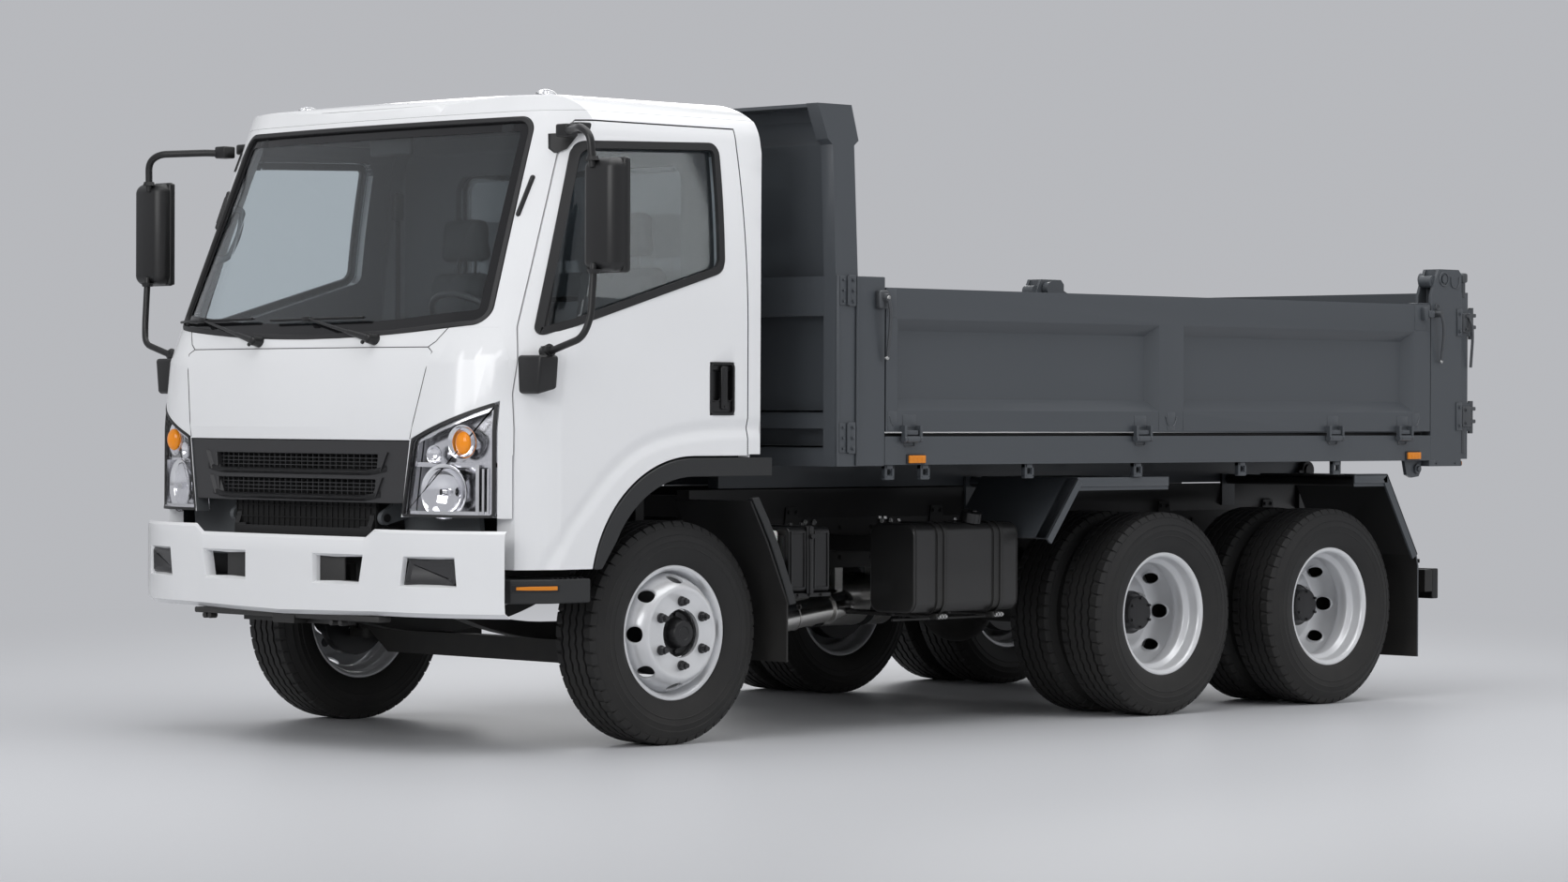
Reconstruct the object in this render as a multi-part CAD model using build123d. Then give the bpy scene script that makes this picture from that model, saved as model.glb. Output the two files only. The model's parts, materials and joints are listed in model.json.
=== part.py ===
"""Three-axle light dump truck with a tilting cab, drop-side tipping bed and twin rear wheels.

Stations along the truck (Y) are measured from the front axle while the pieces are built; the finished
pieces then move by ORIGIN_Y, so that the origin lies on the ground under the middle of the truck.
Front is -Y, the truck's left is +X, the ground is Z = 0. All sizes are millimetres.
"""
import math
import os

from build123d import *

# ------------------------------------------------------------------ driving dimensions
FRONT_REACH = 990.0      # front axle to the bumper's nose
REAR_REACH = 4325.0      # front axle to the tailgate's hinge knuckles
AXLE_2 = 2427.0          # front axle to the first driven axle
AXLE_3 = 3438.0          # front axle to the second driven axle
ORIGIN_Y = (FRONT_REACH - REAR_REACH) / 2

GAP = 5.0                # air between bodies that move past each other
SEAT = 0.3               # air between bolted or resting neighbours
PIN_PLAY = 0.05          # radial play of a pin in its bore

# tyres and wheels
TYRE_R = 390.0
TYRE_W = 230.0
TREAD_W = 168.0
RIM_FLANGE_R = 235.0
RIM_SEAT_R = 222.0
RIM_W = 170.0
RIM_WALL = 8.0
WELL_R = 200.0
WELL_W = 40.0
FRONT_TRACK = 1726.0
DUAL_SPACING = 262.0
REAR_TRACK = 1744.0
DISC_T = 10.0
DISC_R = 165.0
HUB_BORE_R = 82.0
HAND_HOLE_R = 17.0
HAND_HOLE_PCD = 372.0
HAND_HOLES = 8
STUD_PCD = 222.25
STUD_HOLES = 6
NUT_R = 15.0
NUT_H = 22.0

# front axle, knuckles and steering
KINGPIN_X = 735.0
KINGPIN_R = 15.0
AXLE_BEAM_Y = 32.0
AXLE_BEAM_Z = (262.0, 345.0)
SPINDLE_R = 35.0
STEER_ARM = 170.0
TIE_ROD_Z = 288.0

# rear axles
REAR_TUBE_R = 60.0
REAR_SPINDLE_R = 40.0
NOSE_REACH = 230.0
TAIL_REACH = 175.0

# frame
RAIL_OUT = 385.0
RAIL_IN = 320.0
RAIL_T = 6.0
RAIL_Z = (570.0, 760.0)
RAIL_FRONT = -885.0
RAIL_REAR = 4180.0
SUBFRAME_TOP = 870.0
SUBFRAME_FRONT = 600.0

# cab shell
CAB_HALF = 1040.0
CAB_FRONT_Y = -935.0
CAB_REAR_Y = 388.0
CAB_WALL = 55.0
CAB_BOTTOM = 797.0
CAB_BELT = 1440.0
ROOF_SPLIT = 2185.0
ROOF_TOP = 2250.0
FLOOR_STEP_Z = 640.0
FLOOR_REAR_Z = 935.0
FLOOR_T = 20.0
CAB_PIVOT = (-852.0, 790.0)
CAB_PIN_R = 14.0
DOOR_HINGE = (967.0, -748.0)
DOOR_SWEEP_R = 140.0
STRIKER = (1005.0, 1150.0)   # door latch bolt on the rear pillar: X, Z
STRIKER_R = 7.0
HANDLE_Y = (86.0, 203.0)      # recess behind the door's pull handle
HANDLE_Z = (1146.0, 1331.0)
HANDLE_DEPTH = 25.0

# bumper
BUMPER_Z = (462.0, 756.0)
BUMPER_BACK = -947.0

# bed
BED_HALF = 1140.0
BED_FRONT = 712.0
BED_FLOOR_TOP = 1080.0
BED_FLOOR_T = 8.0
SILL_Z = (970.0, 1072.0)
SIDE_Z = (1089.0, 1605.0)
SIDE_T = 55.0
FRONT_POST_Y = (712.0, 851.0)
FRONT_POST_Z = (966.0, 1643.0)
REAR_POST_Y = (4029.0, 4233.0)
REAR_POST_Z = (946.0, 1752.0)
POST_T = 80.0
TIP_PIVOT = (4150.0, 920.0)
TIP_PIN_R = 25.0
SIDE_HINGE = (1156.0, 1062.0)
SIDE_PIN_R = 7.0
GATE_PIVOT = (4112.0, 1712.0)
GATE_PIN_R = 16.0
GATE_Y = (4238.0, 4290.0)
GATE_Z = (975.0, 1660.0)
GATE_HINGES = ((1090.0, 1208.0), (1480.0, 1592.0))

# hoist
HOIST_BASE = (3850.0, 560.0)
HOIST_EYE = (3330.0, 890.0)
HOIST_PIN_R = 20.0
BARREL_R = 58.0


# ------------------------------------------------------------------ shape helpers
def slab(x, y, z):
    """Box between two X, two Y and two Z values."""
    size = (x[1] - x[0], y[1] - y[0], z[1] - z[0])
    middle = ((x[0] + x[1]) / 2, (y[0] + y[1]) / 2, (z[0] + z[1]) / 2)
    return Pos(*middle) * Box(*size)


def outline(*points):
    """Closed face through straight runs."""
    return Polygon(*points, align=None)


def pushed(face, run):
    """Extrude a placed face along a vector square to it, whichever way the face itself looks."""
    ahead = face.faces()[0].normal_at().dot(run) > 0
    return extrude(face, amount=run.length if ahead else -run.length)


def along_x(face, x):
    """Extrude a (Y, Z) face between two X values."""
    return pushed(Plane((x[0], 0, 0), x_dir=(0, 1, 0), z_dir=(1, 0, 0)) * face, Vector(x[1] - x[0], 0, 0))


def along_y(face, y):
    """Extrude an (X, Z) face between two Y values."""
    return pushed(Plane((0, y[1], 0), x_dir=(1, 0, 0), z_dir=(0, -1, 0)) * face, Vector(0, y[0] - y[1], 0))


def along_z(face, z):
    """Extrude an (X, Y) face between two Z values."""
    return pushed(Plane.XY.offset(z[0]) * face, Vector(0, 0, z[1] - z[0]))


def bar_x(radius, x, y, z):
    """Round bar along X."""
    return Pos((x[0] + x[1]) / 2, y, z) * Rot(0, 90, 0) * Cylinder(radius, x[1] - x[0])


def bar_y(radius, x, y, z):
    """Round bar along Y."""
    return Pos(x, (y[0] + y[1]) / 2, z) * Rot(90, 0, 0) * Cylinder(radius, y[1] - y[0])


def bar_z(radius, x, y, z):
    """Round bar along Z."""
    return Pos(x, y, (z[0] + z[1]) / 2) * Cylinder(radius, z[1] - z[0])


def other_side(piece):
    """The same piece on the truck's right."""
    return mirror(piece, about=Plane.YZ)


def both_sides(piece):
    """A left piece with its right twin."""
    return piece + other_side(piece)


def turned(profile):
    """Revolve an (X, radius) face about the wheel's own axis."""
    return revolve(profile, axis=Axis.X)


def tube_path(points, bend, radius):
    """Round tube through points with equal bends."""
    path = FilletPolyline(*points, radius=bend)
    start = Plane(path @ 0, z_dir=path % 0)
    return sweep(start * Circle(radius), path=path)


PIECES = {}


def keep(name, piece):
    """Move a finished piece to the truck's own origin and keep it under its node name."""
    PIECES[name] = Pos(0, ORIGIN_Y, 0) * piece


# ------------------------------------------------------------------ wheels and tyres
WHEEL_OFFSET = DUAL_SPACING / 2
FRONT_WHEEL_X = FRONT_TRACK / 2
REAR_DISC_X = REAR_TRACK / 2
RIM_HALF = RIM_W / 2
RIM_LIP = 8.0


def tyre():
    """Tyre ring about the X axis, centred on its own middle plane."""
    bead = RIM_HALF - RIM_LIP - SEAT
    shoulder = TREAD_W / 2
    wide = TYRE_W / 2
    half = [(bead, RIM_SEAT_R + SEAT), (bead, RIM_FLANGE_R + 2), (wide, 300), (wide - 5, 352),
            (shoulder, TYRE_R)]
    other = [(-x, r) for x, r in reversed(half)]
    return turned(outline(*half, *other))


def rim():
    """Rim barrel with its drop centre and a dished disc towards +X."""
    well = WELL_W / 2
    lip = RIM_HALF - RIM_LIP
    inner = RIM_SEAT_R - RIM_WALL
    barrel = outline(
        (-RIM_HALF, RIM_FLANGE_R), (-lip, RIM_FLANGE_R), (-lip, RIM_SEAT_R), (-well - 10, RIM_SEAT_R),
        (-well, WELL_R), (well, WELL_R), (well + 10, RIM_SEAT_R), (lip, RIM_SEAT_R),
        (lip, RIM_FLANGE_R), (RIM_HALF, RIM_FLANGE_R), (RIM_HALF, inner), (well + 16, inner),
        (well + 5, WELL_R - RIM_WALL), (-well - 5, WELL_R - RIM_WALL), (-well - 16, inner),
        (-RIM_HALF, inner))
    disc = outline(
        (well, WELL_R - RIM_WALL), (well + 16, inner), (WHEEL_OFFSET, DISC_R),
        (WHEEL_OFFSET, HUB_BORE_R), (WHEEL_OFFSET - DISC_T, HUB_BORE_R),
        (WHEEL_OFFSET - DISC_T, DISC_R - 8))
    wheel = turned(barrel) + turned(disc)
    for index in range(HAND_HOLES):
        hole = bar_x(HAND_HOLE_R, (well, WHEEL_OFFSET + 20), 0, HAND_HOLE_PCD / 2)
        wheel -= Rot(360 * index / HAND_HOLES, 0, 0) * hole
    return wheel


def nut_ring(x):
    """Six wheel nuts between two X values."""
    ring = Part()
    for index in range(STUD_HOLES):
        ring += Rot(360 * (index + 0.5) / STUD_HOLES, 0, 0) * bar_x(NUT_R, x, 0, STUD_PCD / 2)
    return ring


FRONT_HUB = [(-58, 150), (-18, 150), (-18, 78), (107, 78), (107, 138), (122, 138), (122, 83),
             (136, 83), (136, 70), (182, 62), (182, 0), (104, 0), (104, SPINDLE_R), (-58, SPINDLE_R)]
REAR_HUB = [(-212, 165), (-152, 165), (-152, 81), (-24, 81), (-24, 140), (-9, 140), (-9, 83),
            (60, 83), (72, 66), (128, 60), (128, 0), (88, 0), (88, REAR_SPINDLE_R),
            (-118, REAR_SPINDLE_R), (-118, 150), (-212, 150)]


def front_wheel():
    """Single wheel with its disc outwards, its hub and brake drum."""
    nuts = nut_ring((WHEEL_OFFSET, WHEEL_OFFSET + NUT_H))
    return rim() + turned(outline(*FRONT_HUB)) + nuts


def twin_wheel():
    """Two rims bolted disc to disc on one hub; X = 0 is the plane where the discs meet."""
    outer = Pos(WHEEL_OFFSET, 0, 0) * mirror(rim(), about=Plane.YZ)
    inner = Pos(-WHEEL_OFFSET, 0, 0) * rim()
    return outer + inner + turned(outline(*REAR_HUB)) + nut_ring((DISC_T, DISC_T + NUT_H))


def place_wheels():
    """Every tyre and wheel at its axle."""
    front = Pos(FRONT_WHEEL_X, 0, TYRE_R)
    front_tyre = front * tyre()
    front_rim = front * front_wheel()
    keep("front_tyre_left", front_tyre)
    keep("front_tyre_right", other_side(front_tyre))
    keep("front_wheel_left", front_rim)
    keep("front_wheel_right", other_side(front_rim))
    pair = Pos(WHEEL_OFFSET, 0, 0) * tyre() + Pos(-WHEEL_OFFSET, 0, 0) * tyre()
    twin = twin_wheel()
    for name, station in (("middle", AXLE_2), ("rear", AXLE_3)):
        seat = Pos(REAR_DISC_X, station, TYRE_R)
        keep(name + "_tyres_left", seat * pair)
        keep(name + "_tyres_right", other_side(seat * pair))
        keep(name + "_wheels_left", seat * twin)
        keep(name + "_wheels_right", other_side(seat * twin))


# ------------------------------------------------------------------ axles, springs, steering
EYE_R = 34.0
EYE_Z = (TYRE_R - 45, TYRE_R + 45)
LUG_T = 32.0
LUG_GAP = 2.0


def front_axle():
    """Forged beam that rises to a kingpin eye at each end."""
    low, high = AXLE_BEAM_Z
    half = outline((0, low), (575, low), (KINGPIN_X - EYE_R - 8, EYE_Z[0]), (KINGPIN_X, EYE_Z[0]),
                   (KINGPIN_X, EYE_Z[1]), (KINGPIN_X - EYE_R, EYE_Z[1]), (560, high), (0, high))
    arm = along_y(half, (-AXLE_BEAM_Y, AXLE_BEAM_Y)) + bar_z(EYE_R, KINGPIN_X, 0, EYE_Z)
    arm -= bar_z(KINGPIN_R + PIN_PLAY, KINGPIN_X, 0, (EYE_Z[0] - 1, EYE_Z[1] + 1))
    return both_sides(arm)


def knuckle():
    """Left knuckle: two lugs, kingpin, stub axle and steering arm."""
    upper = (EYE_Z[1] + LUG_GAP, EYE_Z[1] + LUG_GAP + LUG_T)
    lower = (EYE_Z[0] - LUG_GAP - LUG_T, EYE_Z[0] - LUG_GAP)
    plate_x = (KINGPIN_X + EYE_R + 8, KINGPIN_X + EYE_R + 30)
    body = slab(plate_x, (-EYE_R, EYE_R), (lower[0], upper[1]))
    for z in (upper, lower):
        body += bar_z(EYE_R - 2, KINGPIN_X, 0, z) + slab((KINGPIN_X, plate_x[1]), (-EYE_R + 2, EYE_R - 2), z)
    body += bar_z(KINGPIN_R, KINGPIN_X, 0, (lower[0] - 6, upper[1] + 6))
    body += bar_x(SPINDLE_R - PIN_PLAY, (plate_x[1] - 2, FRONT_WHEEL_X + 96), 0, TYRE_R)
    arm_z = (lower[0], lower[0] + 20)
    body += slab((KINGPIN_X - 16, KINGPIN_X + 16), (0, STEER_ARM), arm_z)
    body += bar_z(20, KINGPIN_X, STEER_ARM, arm_z)
    return body - bar_z(10 + PIN_PLAY, KINGPIN_X, STEER_ARM, (arm_z[0] - 1, arm_z[1] + 1))


def tie_rod():
    """Track rod between the two steering arms with a pin at each end."""
    reach = KINGPIN_X
    rod = bar_x(14, (-reach, reach), STEER_ARM, TIE_ROD_Z)
    pin = bar_z(10, reach, STEER_ARM, (TIE_ROD_Z, EYE_Z[0] - LUG_GAP - LUG_T + 22))
    eye = bar_z(20, reach, STEER_ARM, (TIE_ROD_Z - 15, TIE_ROD_Z + 15))
    return rod + both_sides(pin) + both_sides(eye)


SPRING_X = (318.0, 388.0)
SPRING_REACH = 560.0
TRUNNION_Y = (AXLE_2 + AXLE_3) / 2


def leaf_pack(middle, reach, z_low, z_high):
    """Leaf pack between two arcs; z_low and z_high are (at the ends, at the middle)."""
    low = ThreePointArc((middle - reach, z_low[0]), (middle, z_low[1]), (middle + reach, z_low[0]))
    high = ThreePointArc((middle + reach, z_high[0]), (middle, z_high[1]), (middle - reach, z_high[0]))
    right = Line(low @ 1, high @ 0)
    left = Line(high @ 1, low @ 0)
    return along_x(make_face([low, right, high, left]), SPRING_X)


def leaf_springs():
    """Front packs on the axle beam, rear packs across both driven axles."""
    front = leaf_pack(0, SPRING_REACH, (470, AXLE_BEAM_Z[1] + SEAT), (488, AXLE_BEAM_Z[1] + 62))
    for end in (-1, 1):
        front += bar_x(24, SPRING_X, end * SPRING_REACH, 479)
    seat_z = TYRE_R + REAR_TUBE_R + SEAT
    rear = leaf_pack(TRUNNION_Y, AXLE_3 - TRUNNION_Y + 45, (seat_z, 500), (seat_z + 20, 562))
    return both_sides(front + rear)


def rear_axles():
    """Two driven axles: tube, differential bulge and stub ends."""
    housing = Part()
    for station in (AXLE_2, AXLE_3):
        tube = bar_x(REAR_TUBE_R, (-REAR_DISC_X + 222, REAR_DISC_X - 222), station, TYRE_R)
        stub_end = REAR_DISC_X + 80
        stubs = bar_x(REAR_SPINDLE_R - PIN_PLAY, (-stub_end, stub_end), station, TYRE_R)
        bulge = Pos(0, station, TYRE_R) * Sphere(150) & slab((-130, 130), (station - 200, station + 200), (200, 600))
        nose = bar_y(60, 0, (station - NOSE_REACH, station + TAIL_REACH), TYRE_R)
        housing += tube + stubs + bulge + nose
    return housing


# ------------------------------------------------------------------ frame, subframe, drive train
CROSSMEMBERS = (-860.0, 880.0, 1800.0, TRUNNION_Y, 3955.0, 4140.0)


def rail():
    """Left C-section side rail, open towards the middle."""
    outer = slab((RAIL_IN, RAIL_OUT), (RAIL_FRONT, RAIL_REAR), RAIL_Z)
    hollow = slab((RAIL_IN - 1, RAIL_OUT - RAIL_T), (RAIL_FRONT - 1, RAIL_REAR + 1),
                  (RAIL_Z[0] + RAIL_T, RAIL_Z[1] - RAIL_T))
    return outer - hollow


def frame_rails():
    """Ladder frame with its crossmembers and the hangers that carry springs and side gear."""
    web = RAIL_OUT - RAIL_T - SEAT
    frame = both_sides(rail())
    for station in CROSSMEMBERS:
        frame += slab((-web, web), (station - 25, station + 25), (RAIL_Z[0] + 60, RAIL_Z[1] - RAIL_T - SEAT))
    hanger = Part()
    for end in (-1, 1):
        station = end * SPRING_REACH
        hanger += slab((SPRING_X[0] + 2, SPRING_X[1] - 5), (station - 28, station + 28), (503 + SEAT, RAIL_Z[0]))
    hanger += slab((SPRING_X[0], SPRING_X[1] - 3), (TRUNNION_Y - 90, TRUNNION_Y + 90), (562 + SEAT, RAIL_Z[0]))
    for station in TANK_ARMS:
        hanger += slab((RAIL_OUT - 1, TANK_X[0] - SEAT), (station - 20, station + 20), (640, 700))
    hanger += slab((RAIL_OUT - 1, BOX_X[0] - SEAT), (590, 640), (600, 700))
    hanger += slab((RAIL_OUT - 1, STEP_X[0] - SEAT), (-700, -640), (571, 640))
    tow = slab((-300, 300), (-908, -884), (TOW_Z[0], RAIL_Z[0] + 62)) + slab((-60, 60), (-965, -884), TOW_Z)
    tow -= bar_z(TOW_BORE_R, 0, TOW_BORE_Y, (TOW_Z[0] - 1, TOW_Z[1] + 1))
    hanger += slab((RAIL_IN + 12, RAIL_OUT - 5), (340, 380), (RAIL_Z[1] - 1, FLOOR_REAR_Z - SEAT))
    frame += both_sides(hanger + cab_bracket()) + tow
    rear = slab((-60, 60), (4160, REAR_TOW_Y + 32), REAR_TOW_Z)
    rear -= bar_z(TOW_BORE_R, 0, REAR_TOW_Y, (REAR_TOW_Z[0] - 1, REAR_TOW_Z[1] + 1))
    return frame + rear


def cab_bracket():
    """Left bracket and pin at the front end of the rail that the cab tilts on."""
    y, z = CAB_PIVOT
    plate_x = (RAIL_OUT - 25, RAIL_OUT)
    plate = along_x(outline((y - 33, RAIL_Z[1] - 1), (y + 37, RAIL_Z[1] - 1), (y + 17, z + 10), (y - 17, z + 10)),
                    plate_x)
    return plate + bar_x(22, plate_x, y, z) + bar_x(CAB_PIN_R, (plate_x[0], CAB_EAR_X[1] + 6), y, z)


CAB_EAR_X = (405.0, 425.0)
TOW_BORE_R = 16.0
TOW_BORE_Y = -935.0
TOW_Z = (420.0, 450.0)
REAR_TOW_Z = (650.0, 690.0)
REAR_TOW_Y = 4220.0
TANK_X = (770.0, 1000.0)
TANK_Y = (1150.0, 1709.0)
TANK_Z = (424.0, 750.0)
TANK_ARMS = (1293.0, 1595.0)
BOX_X = (740.0, 1000.0)
BOX_Y = (510.0, 716.0)
BOX_Z = (515.0, 748.0)
STEP_X = (760.0, 1035.0)
STEP_Y = (-765.0, -459.0)
STEP_Z = (511.0, 593.0)


def subframe():
    """Tipping subframe on the rails with the rear pivot ears and the hoist cradle."""
    side = slab((RAIL_IN, RAIL_OUT), (SUBFRAME_FRONT, RAIL_REAR), (RAIL_Z[1], SUBFRAME_TOP))
    ear = slab((RAIL_OUT, RAIL_OUT + 22), (TIP_PIVOT[0] - 60, RAIL_REAR), (RAIL_Z[1], TIP_PIVOT[1]))
    ear += bar_x(38, (RAIL_OUT, RAIL_OUT + 22), *TIP_PIVOT)
    frame = both_sides(side + ear)
    for station in (SUBFRAME_FRONT + 30, 1500, 2300, 3950):
        frame += slab((-RAIL_IN, RAIL_IN), (station - 30, station + 30), (RAIL_Z[1] + 10, SUBFRAME_TOP - 20))
    pin_reach = RAIL_OUT + 30
    return frame + bar_x(TIP_PIN_R, (-pin_reach, pin_reach), *TIP_PIVOT)


def hoist_cradle():
    """Two ears and a pin on the frame that carry the hoist's foot."""
    y, z = HOIST_BASE
    plate = outline((y - 40, z - 20), (y + 30, z - 34), (3975, RAIL_Z[0] + 60), (3935, RAIL_Z[0] + 60))
    ear_x = (BARREL_R + GAP, BARREL_R + GAP + 18)
    ear = along_x(plate, ear_x) + bar_x(45, ear_x, y, z)
    return both_sides(ear) + bar_x(HOIST_PIN_R, (-ear_x[1], ear_x[1]), y, z)


def drive_train():
    """Engine as one plain block, gearbox and the two propeller shafts."""
    block = slab((-240, 240), (-560, 110), (520, 850))
    gearbox = slab((-120, 120), (110, 560), (500, 720)) + bar_y(70, 0, (560, 700), 610)
    mounts = both_sides(slab((240, RAIL_OUT - RAIL_T - SEAT), (-300, -220), (620, 680)))
    shaft = shaft_between((700, 610), (AXLE_2 - NOSE_REACH - 6, TYRE_R))
    second = bar_y(40, 0, (AXLE_2 + TAIL_REACH + SEAT, AXLE_3 - NOSE_REACH - SEAT), TYRE_R)
    return block + gearbox + mounts + shaft + second


def shaft_between(start, end):
    """Propeller shaft on the centreline between two (Y, Z) points."""
    line = Line((0, start[0], start[1]), (0, end[0], end[1]))
    return sweep(Plane(line @ 0, z_dir=line % 0) * Circle(40), path=line)


def fuel_tank():
    """Box tank with rounded long edges and a filler cap."""
    box = slab(TANK_X, TANK_Y, TANK_Z)
    box = fillet(box.edges().filter_by(Axis.Y), 45)
    cap = bar_z(38, TANK_X[0] + 60, TANK_Y[0] + 90, (TANK_Z[1] - 2, TANK_Z[1] + 28))
    return box + cap


def battery_box():
    """Battery box behind the front mudguard."""
    box = slab(BOX_X, BOX_Y, BOX_Z)
    return chamfer(box.edges().filter_by(Axis.Y), 12)


SILENCER_X = 215.0
SILENCER_R = 100.0
SILENCER_Z = 440.0
SILENCER_Y = (1290.0, 1760.0)
PIPE_R = 50.0


def exhaust():
    """Silencer beside the propeller shaft, its hangers and the large pipe that runs forward on the left."""
    silencer = bar_y(SILENCER_R, SILENCER_X, SILENCER_Y, SILENCER_Z)
    for station in (1400, 1640):
        silencer += slab((SILENCER_X + 65, RAIL_IN + 40), (station - 20, station + 20),
                         (SILENCER_Z, RAIL_Z[0] - SEAT))
    return silencer + tube_path([(500, 790, 372), (500, 1300, SILENCER_Z), (SILENCER_X + 40, 1400, SILENCER_Z)],
                                95, PIPE_R)


def side_steps():
    """Step boxes below the doors."""
    plan = outline((STEP_X[0], STEP_Y[0]), (970, STEP_Y[0]), (STEP_X[1], -640), (STEP_X[1], STEP_Y[1]),
                   (STEP_X[0], STEP_Y[1]))
    return both_sides(along_z(plan, STEP_Z))


FRONT_GUARD_X = (640.0, 1030.0)
GUARD_X = (626.0, 1112.0)
GUARD_T = 8.0


def strip(points, thickness):
    """Bent sheet in the (Y, Z) plane; points run along its upper side."""
    lower = []
    for index, point in enumerate(points):
        before = points[max(index - 1, 0)]
        after = points[min(index + 1, len(points) - 1)]
        run = math.hypot(after[0] - before[0], after[1] - before[1])
        normal = ((after[1] - before[1]) / run, -(after[0] - before[0]) / run)
        lower.append((point[0] + normal[0] * thickness, point[1] + normal[1] * thickness))
    return outline(*points, *reversed(lower))


def front_mudguards():
    """Rear half of each front mudguard with its flap, on a bracket from the rail."""
    guard = along_x(strip([(298, 847), (380, 700), (479, 486), (479, 274)], GUARD_T), FRONT_GUARD_X)
    arm = slab((RAIL_OUT + SEAT, FRONT_GUARD_X[0] + 60), (378, 424), (660, 695))
    arm -= along_x(outline((300, 400), (300, 900), (378, 702), (477, 486)), (600, 1100))
    return both_sides(guard + arm)


MIDDLE_GUARD = [(1734, 692), (1905, 915), (2036, 915), (2430, 915)]
REAR_GUARD = [(3566, 915), (3778, 915), (3977, 588), (3990, 540), (3990, 170)]


def rear_mudguards():
    """Folded sheet guards before and behind the twin wheels with their flap and support bars."""
    guards = Part()
    for path, bar_y_at in ((MIDDLE_GUARD, 2100), (REAR_GUARD, 3640)):
        guards += along_x(strip(path, GUARD_T), GUARD_X)
        guards += bar_x(20, (RAIL_OUT + SEAT, GUARD_X[1] - 30), bar_y_at, 915 - GUARD_T - 19)
        guards += slab((RAIL_OUT + SEAT, RAIL_OUT + 12), (bar_y_at - 40, bar_y_at + 40), (780, 910))
    lip = along_x(strip([(1905, 915), (2430, 915)], 48), (GUARD_X[1] - 6, GUARD_X[1]))
    lip += along_x(strip([(3566, 915), (3778, 915)], 48), (GUARD_X[1] - 6, GUARD_X[1]))
    return both_sides(guards + lip)


def tail_bar():
    """Underrun bar with the tail lamp boxes on two stays."""
    bar = slab((-1060, 1060), (4100, 4150), (430, 520))
    stay = slab((RAIL_IN + 5, RAIL_OUT - RAIL_T - 5), (4105, 4145), (520, RAIL_Z[0] - SEAT))
    return bar + both_sides(stay)


def tail_lamps():
    """Lamp boxes behind the bar's ends."""
    return both_sides(slab((880, 1060), (4150 + SEAT, 4190), (400, 524)))


def front_bumper():
    """Wrapped bumper with two centre openings and two lamp blanks."""
    nose = ThreePointArc((-520, -973), (0, -FRONT_REACH), (520, -973))
    left = ThreePointArc((520, -973), (800, -930), (999, -813))
    right = ThreePointArc((-999, -813), (-800, -930), (-520, -973))
    back = Polyline((999, -813), (940, -795), (700, -900), (520, -932), (300, BUMPER_BACK), (-300, BUMPER_BACK),
                    (-520, -932), (-700, -900), (-940, -795), (-999, -813))
    band = along_z(make_face([nose, left, back, right]), BUMPER_Z)
    for side in (-1, 1):
        opening = outline((side * 188, 567), (side * 188, 662), (side * 456, 672), (side * 430, 567))
        band -= along_y(opening, (-1100, -800))
        blank = outline((side * 640, 563), (side * 640, 666), (side * 854, 666), (side * 850, 563))
        band -= along_y(blank, (-1100, -925))
    bracket = slab((325, RAIL_OUT - RAIL_T), (BUMPER_BACK - 1, RAIL_FRONT - SEAT), (676, 730))
    return band + both_sides(bracket)


# ------------------------------------------------------------------ cab
# Plan sections of the shell: height, how far the front has leaned back by then.
CAB_SECTIONS = ((590.0, 0.0), (1100.0, 2.0), (1330.0, 26.0), (2300.0, 430.0))
FRONT_FLAT_X = 650.0
FRONT_FLAT_SAG = 30.0
CORNER_MID = (905.0, 123.0)
CORNER_END = 335.0
TUMBLEHOME = (65.0, 17.0, 122.0, 250.0)   # inward at the window top, mid window, shoulder, crown edge


def plan_section(z, lean, inset):
    """Plan outline of the cab at one height."""
    front = CAB_FRONT_Y + lean + inset
    half = CAB_HALF - inset
    flat = FRONT_FLAT_X - 0.3 * inset
    mid_x = CORNER_MID[0] - 0.7 * inset
    back = CAB_REAR_Y - inset
    nose = ThreePointArc((-flat, front + FRONT_FLAT_SAG), (0, front), (flat, front + FRONT_FLAT_SAG))
    left = ThreePointArc((flat, front + FRONT_FLAT_SAG), (mid_x, front + CORNER_MID[1]),
                         (half, front + CORNER_END))
    rear = Polyline((half, front + CORNER_END), (half, back - 60), (half - 60, back), (60 - half, back),
                    (-half, back - 60), (-half, front + CORNER_END))
    right = ThreePointArc((-half, front + CORNER_END), (-mid_x, front + CORNER_MID[1]),
                          (-flat, front + FRONT_FLAT_SAG))
    return Plane.XY.offset(z) * make_face([nose, left, rear, right])


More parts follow.
